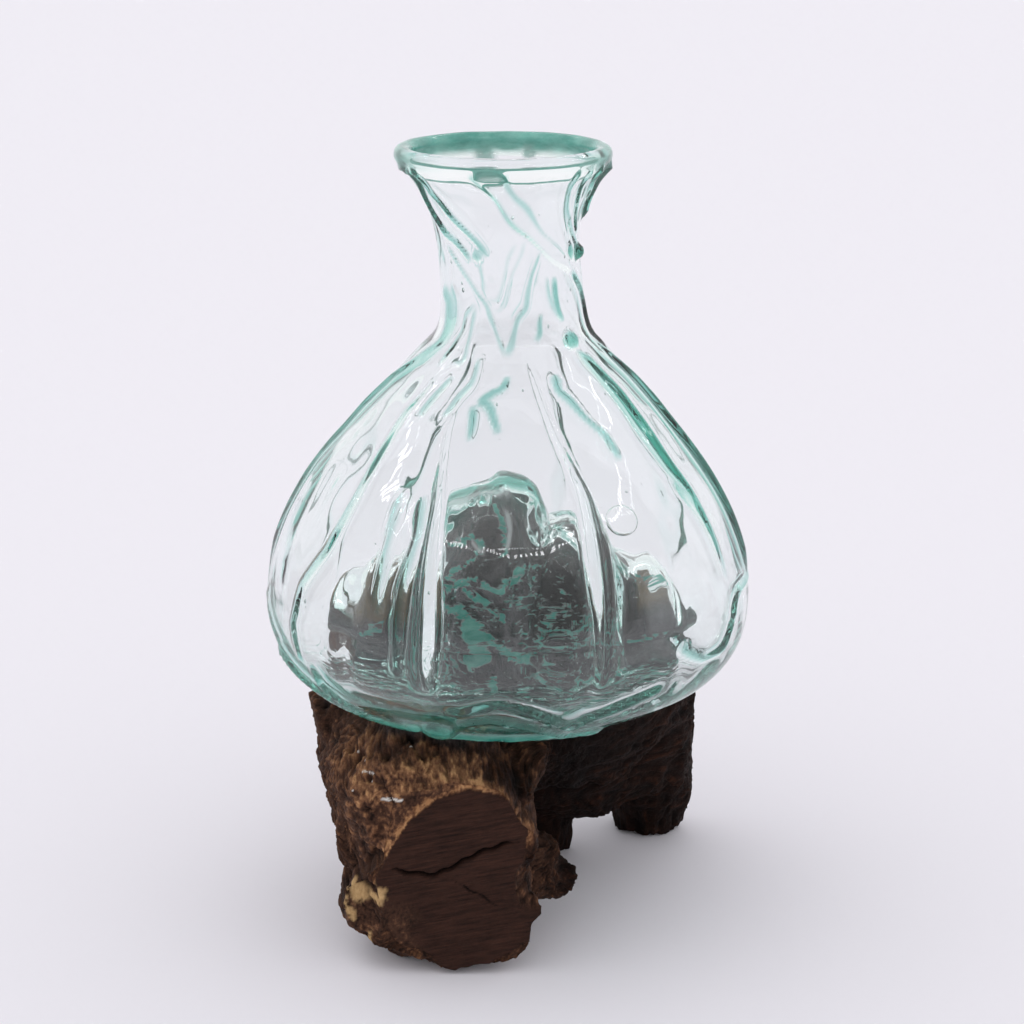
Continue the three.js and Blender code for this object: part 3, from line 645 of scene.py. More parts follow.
def add_bubbles(mesh, count):
    """Air bubbles caught in the wall, whose faces look into the air: small rounds and a wide flat one."""
    rng = np.random.default_rng(BUBBLE_SEED)
    bubbles = bmesh.new()

    def add_bubble(place, inwards, subdivisions, radius, shape):
        middle = Matrix.Translation((Vector(place) + inwards * WALL / 2 + Vector(AXIS)) * MM)
        bmesh.ops.create_icosphere(bubbles, subdivisions=subdivisions, radius=radius, matrix=middle @ shape)

    for _ in range(count):
        height = rng.uniform(*BUBBLE_HEIGHTS)
        azimuth = rng.uniform(-180, 180)
        size = rng.uniform(*BUBBLE_SIZES)
        row = int(np.searchsorted(WALL_POINTS[:, 1], np.clip(height - WIDEST, 1, LIP_RISE - 8)))
        out_way, up_way = WALL_ALONG[row]
        turn = math.radians(azimuth - 90)
        inwards = Vector((-up_way * math.cos(turn), -up_way * math.sin(turn), out_way))
        stretch = Matrix.Diagonal((1, 1, rng.uniform(*BUBBLE_STRETCH), 1))
        add_bubble(on_wall(azimuth, height), inwards, 1, size * MM, stretch)
    place = Vector(on_wall(*FLAT_BUBBLE[:2]))
    outwards = Vector((place.x, place.y, FLAT_BUBBLE_RISE * math.hypot(place.x, place.y))).normalized()
    turned = outwards.to_track_quat("Z", "Y").to_matrix().to_4x4()
    add_bubble(place, -outwards, 3, MM, turned @ Matrix.Diagonal((*FLAT_BUBBLE[2:], 1)))
    bmesh.ops.reverse_faces(bubbles, faces=bubbles.faces)
    extra = bpy.data.meshes.new("bubbles")
    bubbles.to_mesh(extra)
    bubbles.free()
    with edited(mesh) as both:
        both.from_mesh(extra)
    bpy.data.meshes.remove(extra)


def add_node(tree, kind, inputs=None, output=0, **options):
    """Adds a node and gives one of its outputs. An input takes a plain value or another node's output."""
    node = tree.nodes.new("ShaderNode" + kind)
    for name, value in options.items():
        setattr(node, name, value)
    for name, value in (inputs or {}).items():
        if isinstance(value, bpy.types.NodeSocket):
            tree.links.new(value, node.inputs[name])
        else:
            node.inputs[name].default_value = value
    return node.outputs[output] if node.outputs else None


def calculate(tree, operation, *values):
    return add_node(tree, "Math", dict(enumerate(values)), operation=operation)


def mixed(tree, share, low, high, blend_type="MIX"):
    """A mix of two colours, each a node's output or a plain colour."""
    low, high = (c if isinstance(c, bpy.types.NodeSocket) else (*c, 1) for c in (low, high))
    return add_node(tree, "Mix", {0: share, 6: low, 7: high}, 2, data_type="RGBA", blend_type=blend_type)


def mixed_value(tree, share, low, high):
    return add_node(tree, "Mix", {0: share, 2: low, 3: high}, data_type="FLOAT")


def spread(tree, value, low, high, to_low=0.0, to_high=1.0, step="LINEAR"):
    """Maps the values between two numbers onto two others."""
    limits = {"Value": value, "From Min": low, "From Max": high, "To Min": to_low, "To Max": to_high}
    return add_node(tree, "MapRange", limits, interpolation_type=step)


def pattern(tree, place, scale, detail, roughness, distortion=0.0):
    """Noise; a scale of 1000 / w gives spots about w millimetres wide in an object's coordinates."""
    looks = {"Vector": place, "Scale": scale, "Detail": detail, "Roughness": roughness, "Distortion": distortion}
    return add_node(tree, "TexNoise", looks, "Fac")


def stretched(tree, place, scale):
    return add_node(tree, "VectorMath", {0: place, 1: scale}, operation="MULTIPLY")


def kept_value(tree, name, output="Fac"):
    return add_node(tree, "Attribute", output=output, attribute_name=name)


def colour_ramp(tree, share, stops):
    """A ramp through colours, the first of them at 0 and the last at 1."""
    colours = add_node(tree, "ValToRGB", {"Fac": share}, "Color")
    elements = colours.node.color_ramp.elements
    elements[0].color = (*stops[0][1], 1)
    elements[1].color = (*stops[-1][1], 1)
    for place, colour in stops[1:-1]:
        elements.new(place).color = (*colour, 1)
    return colours


def new_material(name):
    material = bpy.data.materials.new(name)
    material.use_nodes = True
    material.node_tree.nodes.clear()
    return material, material.node_tree


def blown_glass(settings):
    """Recycled soda-lime glass, hand blown and fire polished: bright and clear, sea green where it is thick."""
    material, tree = new_material("blown_recycled_glass")
    milk, smear, frost, tint = (kept_value(tree, name) for name in ("milk", "smear", "frost", "tint"))
    place = add_node(tree, "TexCoord", output="Object")
    # The colour deepens with the thickness, as light lost on its way does
    thick = settings.thick_colour
    stops = [(share, [value**share for value in thick]) for share in (0, 0.2, 0.4, 0.6, 0.8, 1)]
    clear = colour_ramp(tree, tint, stops)
    # The smears are torn into shreds 1 to 2 mm wide, drawn out across the knob
    drawn_out = stretched(tree, place, (0.45, 0.45, 1.0))
    shreds = pattern(tree, drawn_out, 520.0, 4.0, 0.6, 0.8)
    torn = spread(tree, calculate(tree, "MULTIPLY_ADD", shreds, 2.6, smear), 1.92, 2.2, step="SMOOTHSTEP")
    cloudy = calculate(tree, "MAXIMUM", torn, milk)
    # The milk has paler streaks about 4 mm wide
    streaks = spread(tree, pattern(tree, drawn_out, 260.0, 5.0, 0.65), 0.38, 0.68)
    milk_tone = mixed(tree, streaks, settings.milk_colour, settings.milk_light)
    colour = mixed(tree, frost, mixed(tree, cloudy, clear, milk_tone), settings.frost_colour)
    transmission = calculate(tree, "MULTIPLY_ADD", calculate(tree, "MAXIMUM", cloudy, frost), -0.72, 1.0)
    looks = {"Roughness": 0.0, "IOR": 1.5, "Base Color": colour, "Transmission Weight": transmission}
    surface = add_node(tree, "BsdfPrincipled", looks)
    body = add_node(tree, "VolumeAbsorption", {"Color": (*settings.body_colour, 1), "Density": settings.body_depth})
    add_node(tree, "OutputMaterial", {"Surface": surface, "Volume": body})
    return material


def root_wood(settings):
    """Old hardwood root: weathered bark that is golden where it wore, a sawn face, char under the glass, and painted
    shade in its splits, its hollow and under the bowl.
    """
    material, tree = new_material("weathered_root_wood")
    relief, sawn, char, worn, pale, deep, shaded, chip = (
        kept_value(tree, name) for name in ("relief", "sawn", "char", "worn", "pale", "deep", "shaded", "chip")
    )
    place = add_node(tree, "TexCoord", output="Object")
    # Fibres 0.7 mm wide and 9 mm long, in a coordinate that follows each limb in millimetres
    along = stretched(tree, kept_value(tree, "grain", "Vector"), (0.11, 1.4, 1.4))
    fibres = pattern(tree, along, 1.0, 6.0, 0.7)
    # Patches of bark 9 mm across, and grit and dust of 0.7 mm
    patches = pattern(tree, place, 110.0, 5.0, 0.65)
    grit = pattern(tree, place, 1500.0, 3.0, 0.7)
    # What lightens the bark: its ridges, which are lighter and its gaps darker partly as painted shade, its fibres,
    # its patches, the grit and the wear
    tone = relief
    for source, share in ((fibres, 0.7), (patches, 0.5), (grit, 0.35), (worn, 0.5)):
        tone = calculate(tree, "MULTIPLY_ADD", source, share, tone)
    shades = ("bark_dark", "bark_shade", "bark_brown", "bark_gold", "bark_worn")
    stops = [(share, getattr(settings, name)) for share, name in zip((0, 0.3, 0.58, 0.8, 1), shades)]
    bark = colour_ramp(tree, spread(tree, tone, 0.75, 2.05), stops)
    # Saw marks 0.7 mm apart that rise to the right
    tilt = {"Vector": place, "Rotation": (0, math.radians(-11), 0), "Scale": (14.0, 1.0, 1.0)}
    saw_marks = pattern(tree, add_node(tree, "Mapping", tilt, vector_type="TEXTURE"), 1500.0, 4.0, 0.65)
    saw_tone = spread(tree, calculate(tree, "MULTIPLY_ADD", patches, 0.35, saw_marks), 0.38, 1.02)
    # Char: black between the fibres and silver grey on them
    charred = spread(tree, calculate(tree, "MULTIPLY_ADD", relief, 0.8, fibres), 0.62, 1.2)
    # Old dark bark and painted shade: under the bowl on the right leg, the middle and the rear, and in the hollow
    # right of the sawn face
    colour = mixed(tree, shaded, bark, settings.old_bark_and_shade, "MULTIPLY")
    # deep paints shade, in the darkest bark colour, into the splits, cracks and pits and between the log and the right
    # leg
    for share, layer in (
        (sawn, mixed(tree, saw_tone, settings.sawn_dark, settings.sawn_brown)),
        (pale, mixed(tree, fibres, settings.pale_dark, settings.pale_light)),
        (char, mixed(tree, charred, settings.char_dark, settings.char_light)),
        (deep, settings.bark_dark),
        (chip, settings.chip_white),
    ):
        colour = mixed(tree, share, colour, layer)
    height = mixed_value(tree, sawn, calculate(tree, "MULTIPLY_ADD", grit, 0.6, fibres), saw_marks)
    looks = {
        "IOR": 1.45,
        "Specular IOR Level": 0.13,
        "Base Color": colour,
        "Roughness": spread(tree, grit, 0.3, 0.7, 0.85, 0.55),
        "Normal": add_node(tree, "Bump", {"Strength": 0.7, "Distance": 0.0008, "Height": height}),
    }
    add_node(tree, "OutputMaterial", {"Surface": add_node(tree, "BsdfPrincipled", looks)})
    return material


def studio_floor(settings):
    """Matt seamless paper: one even pale tone that keeps soft shadows."""
    material, tree = new_material("seamless_paper")
    looks = {"Base Color": (*settings.floor_colour, 1), "Roughness": 0.9, "Specular IOR Level": 0.2}
    add_node(tree, "OutputMaterial", {"Surface": add_node(tree, "BsdfPrincipled", looks)})
    return material


def show(mesh, name, material, body, node):
    """Makes the finished piece, which stands for its CAD node and moves with its body."""
    mesh.materials.clear()
    mesh.materials.append(material)
    mesh.polygons.foreach_set("use_smooth", [True] * len(mesh.polygons))
    piece = bpy.data.objects.new(name, mesh)
    bpy.context.scene.collection.objects.link(piece)
    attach(piece, body)
    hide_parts(node)
    return piece


def colour(name, description, hex_colour):
    return FloatVectorProperty(name=name, description=description, subtype="COLOR", default=linear(hex_colour))


def amount(name, description, default, subtype="NONE"):
    return FloatProperty(name=name, description=description, subtype=subtype, default=default)


class CarafeGlass(bpy.types.PropertyGroup):
    steps: IntProperty(
        name="Steps round the axis", description="How many strips the glass is spun in", default=232, min=60
    )
    rib_height: amount("Rib height", "How far the ribs stand out, as a share", 1.0, "FACTOR")
    ripple: amount("Ripple", "Depth of the waves in the wall, in millimetres", 0.22)
    bubbles: IntProperty(name="Bubbles", description="Air bubbles caught in the wall", default=70, min=0)
    body_depth: amount("Colour depth", "How fast the glass takes up colour, per metre", 10.0)
    body_colour: colour("Body colour", "Colour of thick glass", "#31d9c4")
    thick_colour: colour("String colour", "Colour of the thick strings", "#19765f")
    milk_colour: colour("Milk colour", "Colour of the milky lip and smears", "#2f9a89")
    milk_light: colour("Milk light", "Lighter streaks in the milky glass", "#7fccbc")
    frost_colour: colour("Frost colour", "Colour of the frosted streaks", "#d5dedd")


class CarafeRoot(bpy.types.PropertyGroup):
    voxel: amount("Fineness", "Size of the root's faces, in millimetres; half of it on the log", 1.22)
    bark_depth: amount("Bark depth", "Depth of the bark's ridges, as a share", 1.0, "FACTOR")
    # The darkest bark colour is also the painted shade of the splits, cracks, pits and the gap between the log and the
    # right leg
    bark_dark: colour("Bark gaps", "Darkest bark, in its gaps", "#0a0605")
    bark_shade: colour("Bark shade", "Dark bark", "#22150f")
    bark_brown: colour("Bark brown", "Most of the bark", "#4a3226")
    bark_gold: colour("Bark gold", "Golden brown bark", "#805a40")
    bark_worn: colour("Worn bark", "Lightest bark, on the edges and the top", "#b98c62")
    # Darkens the old bark of the legs, and paints the shade under the bowl and in the hollow right of the sawn face
    old_bark_and_shade: colour("Old bark", "What darkens the bark of the legs", "#7c685b")
    sawn_dark: colour("Saw mark", "Dark lines of the sawn face", "#150c09")
    sawn_brown: colour("Sawn face", "Light lines of the sawn face", "#442b22")
    pale_dark: colour("Torn shade", "Darker fibres of the torn wood", "#8a673e")
    pale_light: colour("Torn wood", "Lightest fibres of the torn wood", "#d9b887")
    chip_white: colour("Chips", "Chips of glass left on the bark", "#dcdad6")
    char_dark: colour("Char", "Black char between the fibres", "#100d0d")
    char_light: colour("Silvered char", "Silver grey char on the fibres", "#4c4747")


class CarafeStage(bpy.types.PropertyGroup):
    floor_colour: colour("Floor", "Colour of the floor", "#edebf0")
    sky_colour: colour("Sky", "Colour of the even light", "#fdfcff")
    sky_top: amount("Light from above", "Strength of the even light from above", 0.88)
    sky_side: amount("Light from the sides", "Strength of the even light from the sides", 1.16)
    lamp_power: amount("Lamp", "Strength of the soft light from the upper left", 0.26)
    room_light: amount("Room", "How bright the room behind the camera is in the glass", 0.34)


class CARAFE_OT_stage(bpy.types.Operator):
    """Adds the floor, the light and the camera"""

    bl_idname = "carafe.stage"
    bl_label = "Stage"

    def execute(self, context):
        settings = context.scene.carafe_stage
        plane = bmesh.new()
        bmesh.ops.create_grid(plane, x_segments=8, y_segments=8, size=FLOOR_SIZE)
        mesh = bpy.data.meshes.new("floor")
        plane.to_mesh(mesh)
        plane.free()
        mesh.materials.append(studio_floor(settings))
        floor = bpy.data.objects.new("floor", mesh)
        context.scene.collection.objects.link(floor)
        self.sky(context, settings)
        self.softbox(context, settings)
        self.camera(context)
        return {"FINISHED"}

    def sky(self, context, settings):
        """A white tent: even light, with a dark room and a row of lamps that only the glass sees."""
        world = bpy.data.worlds.new("soft_studio")
        world.use_nodes = True
        tree = world.node_tree
        tree.nodes.clear()
        camera, gloss, through = (
            add_node(tree, "LightPath", output=f"Is {kind} Ray") for kind in ("Camera", "Glossy", "Transmission")
        )
        x, y, z = add_node(tree, "SeparateXYZ", {0: add_node(tree, "TexCoord", output="Generated")}).node.outputs
        # The light comes a little more from the sides than from above
        tent = spread(tree, z, 0.0, 1.0, settings.sky_side, settings.sky_top)
        # The dark room behind the camera gives the glass its grey lines
        behind = spread(tree, calculate(tree, "MULTIPLY", y, -1.0), *ROOM_SPREAD, step="SMOOTHSTEP")
        room = calculate(tree, "MULTIPLY", behind, spread(tree, z, *ROOM_TOP, step="SMOOTHSTEP"))
        seen = spread(tree, room, 0.0, 1.0, SEEN_LIGHT, settings.room_light)
        # The lamps only show as gloss
        turn = calculate(tree, "MULTIPLY", calculate(tree, "ARCTAN2", y, x), LAMPS / (2 * math.pi))
        lamp = calculate(tree, "COMPARE", calculate(tree, "FRACT", turn), 0.5, LAMP_SHARE)
        lamps = calculate(tree, "MULTIPLY", calculate(tree, "COMPARE", z, LAMP_HEIGHT, LAMP_BAND), lamp)
        with_lamps = calculate(tree, "MULTIPLY_ADD", lamps, LAMP_GLOW, seen)
        strength = mixed_value(tree, calculate(tree, "MAXIMUM", gloss, through), tent, seen)
        strength = mixed_value(tree, gloss, strength, with_lamps)
        strength = mixed_value(tree, camera, strength, BACKDROP_LIGHT)
        sky = add_node(tree, "Background", {"Color": (*settings.sky_colour, 1), "Strength": strength})
        add_node(tree, "OutputWorld", {"Surface": sky})
        context.scene.world = world

    def softbox(self, context, settings):
        lamp = bpy.data.lights.new("softbox", "SUN")
        lamp.angle = math.radians(SOFTBOX_ANGLE)
        lamp.energy = settings.lamp_power
        softbox = bpy.data.objects.new("softbox", lamp)
        softbox.rotation_euler = Vector(SOFTBOX_WAY).to_track_quat("-Z", "Y").to_euler()
        softbox.visible_glossy = False
        softbox.visible_transmission = False
        context.scene.collection.objects.link(softbox)

    def camera(self, context):
        lens = bpy.data.cameras.new("camera")
        lens.sensor_width = SENSOR
        lens.lens = CAMERA_LENS
        camera = bpy.data.objects.new("camera", lens)
        camera.location = (np.array(CAMERA_PLACE) + AXIS) * MM
        camera.rotation_euler = (math.radians(90 - CAMERA_DOWN), 0, 0)
        context.scene.collection.objects.link(camera)
        context.scene.camera = camera


class CARAFE_OT_glass(bpy.types.Operator):
    """Blows the glass carafe: its wall, lip, ribs, strings of glass and bubbles"""

    bl_idname = "carafe.glass"
    bl_label = "Glass carafe"

    def execute(self, context):
        settings = context.scene.carafe_glass
        skin = spun_skin(settings.steps)
        travel_layer = skin.verts.layers.float["travel"]
        travel = np.array([vertex[travel_layer] for vertex in skin.verts])
        mesh = bpy.data.meshes.new("carafe_glass")
        skin.to_mesh(mesh)
        skin.free()
        points, section = blown_positions(vertex_values(mesh, "co"), travel, settings.steps)
        move_vertices(mesh, points)
        with edited(mesh) as turned:
            bmesh.ops.recalc_face_normals(turned, faces=turned.faces)
        self.work(mesh, points, section, settings)
        add_bubbles(mesh, settings.bubbles)
        show(mesh, "blown_carafe", blown_glass(settings), "carafe", "glass_carafe")
        return {"FINISHED"}

    def work(self, mesh, points, section, settings):
        """Adds the ribs, strings and folds, and the milky, smeared and frosted places."""
        radius = np.hypot(points[:, 0], points[:, 1])
        height = points[:, 2]
        azimuth = np.degrees(np.arctan2(points[:, 0] - sway(height), -points[:, 1]))
        floor_part = section == BOTTOM
        under_part = (section == UNDER) & (radius < WOOD_RADIUS)
        over_wood = 1 - smoothstep(radius, WOOD_RADIUS, WOOD_RADIUS + 14)
        over_floor = points[floor_part & (radius < WOOD_RADIUS + 2)]

        def waves(rise, size, seed):
            """Noise that is drawn out up the wall where rise is less than 1."""
            return lumps(points * (1, 1, rise), size, seed)

        def on_floor(path, width, power):
            return np.where(floor_part, streak(points, nearest(fold(path), over_floor), width, power), 0)

        outer = (section == OUTSIDE) | ((section == UNDER) & (radius > 40))
        proud, deep = laid_on(points, np.where(outer)[0])
        ripple = settings.ripple * (waves(0.35, 9.0, 3.1) + 0.15 * waves(1, 4.5, 8.7))
        ripple *= np.where(section == LIP, 0.8, 1.0)
        push = proud * settings.rib_height + np.where(section == UNDER, 0, ripple)
        # Folds and wrinkles in the glass floor, which thicken it upwards only, and dents from the wood under it
        folds = np.abs(waves(0.7, 11.0, 5.3)) + 0.6 * np.abs(waves(0.6, 4.0, 1.9))
        folds += 0.3 * np.abs(waves(0.45, 2.4, 4.6)) * (1 - smoothstep(radius, 24, 36))
        crown = smoothstep(height, 124, 140)
        push += np.where(floor_part, 1.3 * folds * over_wood * (1 - 0.7 * crown), 0)
        dents = np.clip(waves(0.4, 4.0, 9.2) + 0.2, 0, 1) + 0.4 * np.abs(waves(0.3, 2.6, 2.6))
        push -= np.where(under_part, 0.9 * dents * (1 - smoothstep(radius, WOOD_RADIUS - 10, WOOD_RADIUS)), 0)

        # Milky glass round the back of the lip and at its sides, with drips down the back wall
        edge = LIP_MILK_HEIGHT + 1.3 * waves(0.2, 9.0, 4.4) + 2.0 * (1 - smoothstep(np.abs(azimuth), 60, 110))
        milk = smoothstep(np.abs(azimuth), 54, 96) * smoothstep(height, edge - 0.5, edge + 0.5)
        for drip, width, low in DRIPS:
            line = fold([on_wall(drip, DRIP_TOP), on_wall(drip, low)])
            milk = np.maximum(milk, 0.9 * streak(points, line, width, 6))
        # The folds of the bottom rim are cloudy too, and so is its lowest edge left of the front, with a thick patch
        cloud = 0.95 * np.clip(deep * 1.6, 0, 1) * (1 - smoothstep(height + 1.5 * waves(1, 8.0, 1.3), 79, 88))
        lowest = 1 - smoothstep(height + 1.2 * waves(1, 5.0, 3.4), 79.5, 82.5)
        lowest *= 0.85 * smoothstep(azimuth, -46, -34) * (1 - smoothstep(azimuth, 14, 26))
        patch = np.exp(-(((azimuth + 23) / 7) ** 4)) * (1 - smoothstep(height, 83, 87))
        cloud = np.maximum(cloud, np.maximum(lowest, patch) * (radius > 52))
        milk = np.maximum(milk, np.where(section == UNDER, cloud, 0)) * (0.86 + 0.14 * waves(1, 5.0, 7.7))
        arc = on_floor(*KNOB_ARC, 4)
        milk = np.maximum(milk, 0.4 * arc)
        deep = np.maximum(deep, 0.8 * arc)

        # Flecks all over the front of the knob, the smears themselves, and frost
        front = smoothstep(-points[:, 1], -16, 4) * (1 - smoothstep(height, 112, 128))
        smear = 0.6 * front * over_wood * (0.8 + 0.5 * waves(1, 14.0, 3.8))
        uneven = 1.45 * (1 + 0.4 * waves(1, 4.0, 6.6))
        for path, width in SMEARS:
            smear = np.maximum(smear, streak(points, nearest(fold(path), over_floor), width * uneven))
        smear = np.where(floor_part | under_part, smear, 0)
        push += np.where(floor_part, 0.5 * smear, 0)
        frost = 0.8 * np.max([on_floor(path, width, 3) for path, width in FROSTED], axis=0)

        points = points + vertex_values(mesh, "normal") * push[:, None]
        move_vertices(mesh, (points + AXIS) * MM)
        lip_edge = smoothstep(points[:, 2], 246, 249) * smoothstep(np.abs(azimuth), 30, 80)
        keep_values(mesh, milk=milk, smear=smear, frost=frost, tint=np.maximum(deep, 0.16 * lip_edge))


class CARAFE_OT_root(bpy.types.Operator):
    """Carves the root: its bark, pits, sawn face, cracks and the char under the glass"""

    bl_idname = "carafe.root"
    bl_label = "Wood root"

    def execute(self, context):
        settings = context.scene.carafe_root
        mesh = self.fine_copy(context, settings.voxel)
        points = vertex_values(mesh, "co") / MM - AXIS
        grain = self.grain(points)
        noises = self.noises(points, grain)
        self.paint(mesh, grain, noises, *self.carve(mesh, points, grain, noises, settings.bark_depth))
        show(mesh, "gnarled_root", root_wood(settings), "base", "root_base")
        return {"FINISHED"}

    def fine_copy(self, context, voxel):
        """A merged copy of the CAD node in small even faces, finer still on the log."""
        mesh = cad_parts["root_base"].data.copy()
        with edited(mesh) as rough:
            bmesh.ops.remove_doubles(rough, verts=rough.verts, dist=1e-6)
        block = bpy.data.objects.new("root_copy", mesh)
        context.scene.collection.objects.link(block)
        remesh = block.modifiers.new("even", "REMESH")
        remesh.mode = "VOXEL"
        remesh.voxel_size = voxel * MM
        smooth = block.modifiers.new("soften", "SMOOTH")
        smooth.factor = 0.5
        smooth.iterations = 2
        context.view_layer.update()
        graph = context.evaluated_depsgraph_get()
        even = bpy.data.meshes.new_from_object(block.evaluated_get(graph), depsgraph=graph)
        bpy.data.objects.remove(block)
        bpy.data.meshes.remove(mesh)
        with edited(even) as fine:
            front = [face for face in fine.faces if face.calc_center_median().y < (FINE_Y + AXIS[1]) * MM]
            edges = list({edge for face in front for edge in face.edges})
            bmesh.ops.subdivide_edges(fine, edges=edges, cuts=1, use_grid_fill=True)
        return even

    def noises(self, points, grain):
        """Fibres, fine fibres and crests along the grain, then gnarls, knots and crumbs."""
        fibre, fine_fibre, crest = (
            lumps(grain * (along, across, across), 1.0, seed)
            for along, across, seed in ((0.07, 0.62, 0.5), (0.14, 1.3, 7.5), (0.04, 0.26, 3.9))
        )
        gnarls, knots, crumbs = (lumps(points, size, seed) for size, seed in ((15.0, 2.7), (6.0, 4.1), (2.4, 6.2)))
        return fibre, fine_fibre, 1 - 2 * np.abs(crest), gnarls, knots, crumbs

    def carve(self, mesh, points, grain, noises, bark_depth):
        """Shapes the wood, and says where it lies now and where it is sawn, in the outline, at the glass and in
        painted shade.
        """
        fibre, fine_fibre, crest, gnarls, knots, crumbs = noises
        normals = vertex_values(mesh, "normal")
        x, y, z = points.T
        on_saw = smoothstep(-normals[:, 1], 0.55, 0.9) * smoothstep(-y, -SAWN_Y - 2.5, -SAWN_Y - 1.0)
        held = inside(x, z, SAWN_OUTLINE)
        # Low on the left the saw met broken bark
        broken = smoothstep(-x + 4 * knots, 25, 32) * smoothstep(-z, -28, -20)
        sawn = on_saw * held * (1 - 0.85 * broken)
        contact = 1 - smoothstep(seat_over(points) - z, 0.6, 3.2)
        on_bark = 1 - np.maximum(on_saw, contact)
        rough_bark = 0.35 + 0.65 * smoothstep(-x, 34, 50)
        bark = 0.8 * gnarls + 0.4 * knots * rough_bark + 0.55 * fibre + 0.5 * fine_fibre + 0.5 * crest - 0.7
        bark += 0.28 * crumbs * rough_bark
        # The bark is split along its fibres here and there
        split = np.clip(1 - np.abs(lumps(grain * (0.025, 0.2, 0.2), 1.0, 9.4)) / 0.13, 0, 1)
        split *= smoothstep(lumps(points, 13.0, 5.5), -0.15, 0.2) * on_bark
        push = (bark - 1.1 * split) * bark_depth * on_bark
        # Under the glass the wood burned back between its fibres
        burned = 0.9 * np.abs(fibre) + 0.6 * np.abs(fine_fibre) + 0.9 * np.clip(-knots, 0, 1)
        push -= burned * contact * (1 - on_saw)
        move = normals * push[:, None]

        # The end was sawn, and bark and splinters have broken away round it
        torn = 1.0 + 1.1 * knots + 0.8 * fibre + 0.6 * crumbs
        move[:, 1] += on_saw * (~held) * np.maximum(torn, 0.25)
        move[:, 1] += sawn * 0.14 * lumps(points * (0.2, 1, 1), 0.9, 3.3)
        # Hardly any light gets into the splits, or in between the log and the right leg under the bowl, so both get
        # painted shade; the cracks and pits below get painted shade too
        deep = np.maximum(0.7 * split**1.5, 0.6 * mark(points, LEG_GAP_SHADE) * (1 - on_saw))
        for path, width, depth in CRACKS:
            line = fold([(a, SAWN_Y, b) for a, b in path])
            line[:, 2] += 0.35 * np.sin(np.arange(len(line)) * 0.9)
            away, along, length = distance_to(points, line)
            taper = np.clip(np.minimum(along + 1.5, length - along) / 6, 0.2, 1)
            groove = np.exp(-((away / (width * taper)) ** 2)) * on_saw
            move[:, 1] += depth * groove * taper
            deep = np.maximum(deep, groove * taper**0.5)
        for *place, width in PITS:
            away = np.linalg.norm((points - place) * PIT_SHAPE, axis=1) * (1 + 0.35 * crumbs + 0.3 * knots)
            move -= normals * (PIT_DEPTH * np.exp(-((away / width) ** 2)))[:, None]
            deep = np.maximum(deep, 0.9 * np.exp(-((away / (0.85 * width)) ** 4)))
        points = points + move

        # The left end narrows towards the floor, and the log's lower left edge stands clear of it
        x, y, z = points.T.copy()
        points[:, 0] += np.interp(z, *LEFT_END) * smoothstep(-x, 42, 56) * smoothstep(y, -34, -22)
        at_edge = smoothstep(-x, 16, 30) * smoothstep(-y, 44, 58) * (1 - smoothstep(z, 2, 14))
        points[:, 2] += EDGE_LIFT * at_edge
        points[:, 2] = np.clip(np.minimum(points[:, 2], seat_over(points)), 0, None)
        move_vertices(mesh, (points + AXIS) * MM)
        return points, sawn, held, contact, deep

    def paint(self, mesh, grain, noises, points, sawn, held, contact, deep):
        """Says where the wood is worn, torn, old and in painted shade, darker next to the glass, charred or chipped,
        for the material to read.
        """
        fibre, fine_fibre, crest, gnarls, knots, crumbs = noises
        x, y, z = points.T
        up = np.clip(vertex_values(mesh, "normal")[:, 2], 0, 1)
        # Relief follows the carved ridges and gaps: lighter on the ridges and darker in the gaps, partly the bark's
        # own tone and partly painted shade
        relief = np.clip(0.5 + 0.22 * fibre + 0.36 * fine_fibre + 0.18 * crest + 0.14 * crumbs + 0.1 * knots, 0, 1)
        relief = relief * (1 - sawn) + 0.5 * sawn
        rim_line = fold([(a, SAWN_Y + 1.5, b) for a, b in SAWN_OUTLINE[:GOLDEN_CORNERS]])
        rim = streak(points, rim_line, 2.4 + 1.2 * knots)
        rim *= 1 - smoothstep(-y, -SAWN_Y - 1.0, -SAWN_Y - 0.2) * held
        worn = np.clip(mark(points, LOG) * (0.2 + 0.8 * up) * (0.9 + 0.4 * gnarls) + 0.9 * rim, 0, 1)
        flake, chip = np.zeros((2, len(points)))
        ragged = 1 + 0.6 * knots + 1.1 * crumbs + 0.5 * fine_fibre
        for path, width in FLAKES:
            line = nearest(fold(path), points)
            flake = np.maximum(flake, streak(points, line, np.maximum(width * ragged, 0.15), 4))
        for path, width in CHIPS:
            chip = np.maximum(chip, 1.2 * streak(points, nearest(fold(path, 0.3), points), width, 4))
        # The right leg, the middle and the rear are old dark bark with painted shade under the bowl on top of it, and
        # the hollow right of the sawn face gets painted shade
        hollow = mark(points, HOLLOW)
        right = smoothstep(x + 0.25 * y + 6 * gnarls, -6, 14)
        rear = smoothstep(y + 4 * knots, -4, 22) * smoothstep(x, -52, -36)
        # The top of the log next to the glass, and its right shoulder, are darker
        darker_patch = np.maximum(mark(points, DARKER_TOP, 0.35 * knots), mark(points, DARKER_SHOULDER, 0.3 * knots))
        worn *= (1 - hollow) * (1 - 0.7 * darker_patch)
        shaded = np.max([right, rear, 0.95 * darker_patch, hollow], axis=0) * (1 - sawn)
        # Bare brown wood shows through the clear sides of the humps
        bare = smoothstep(-x, 26, 31) * smoothstep(z, 84, 90)
        bare = np.maximum(bare, smoothstep(x, 40, 45) * smoothstep(z, 92, 97))
        scorched = 1 - smoothstep(seat_over(points) - z, 0.5, 7.0 + 4 * lumps(points, 9.0, 2.2))
        char = np.maximum(contact, 0.8 * scorched) * (1 - 0.75 * bare)
        pale = np.maximum(flake, 0.7 * bare)
        keep_values(mesh, grain=grain, relief=relief, sawn=sawn * (1 - rim), char=char, worn=worn)
        keep_values(mesh, pale=pale, chip=chip, deep=deep, shaded=shaded)

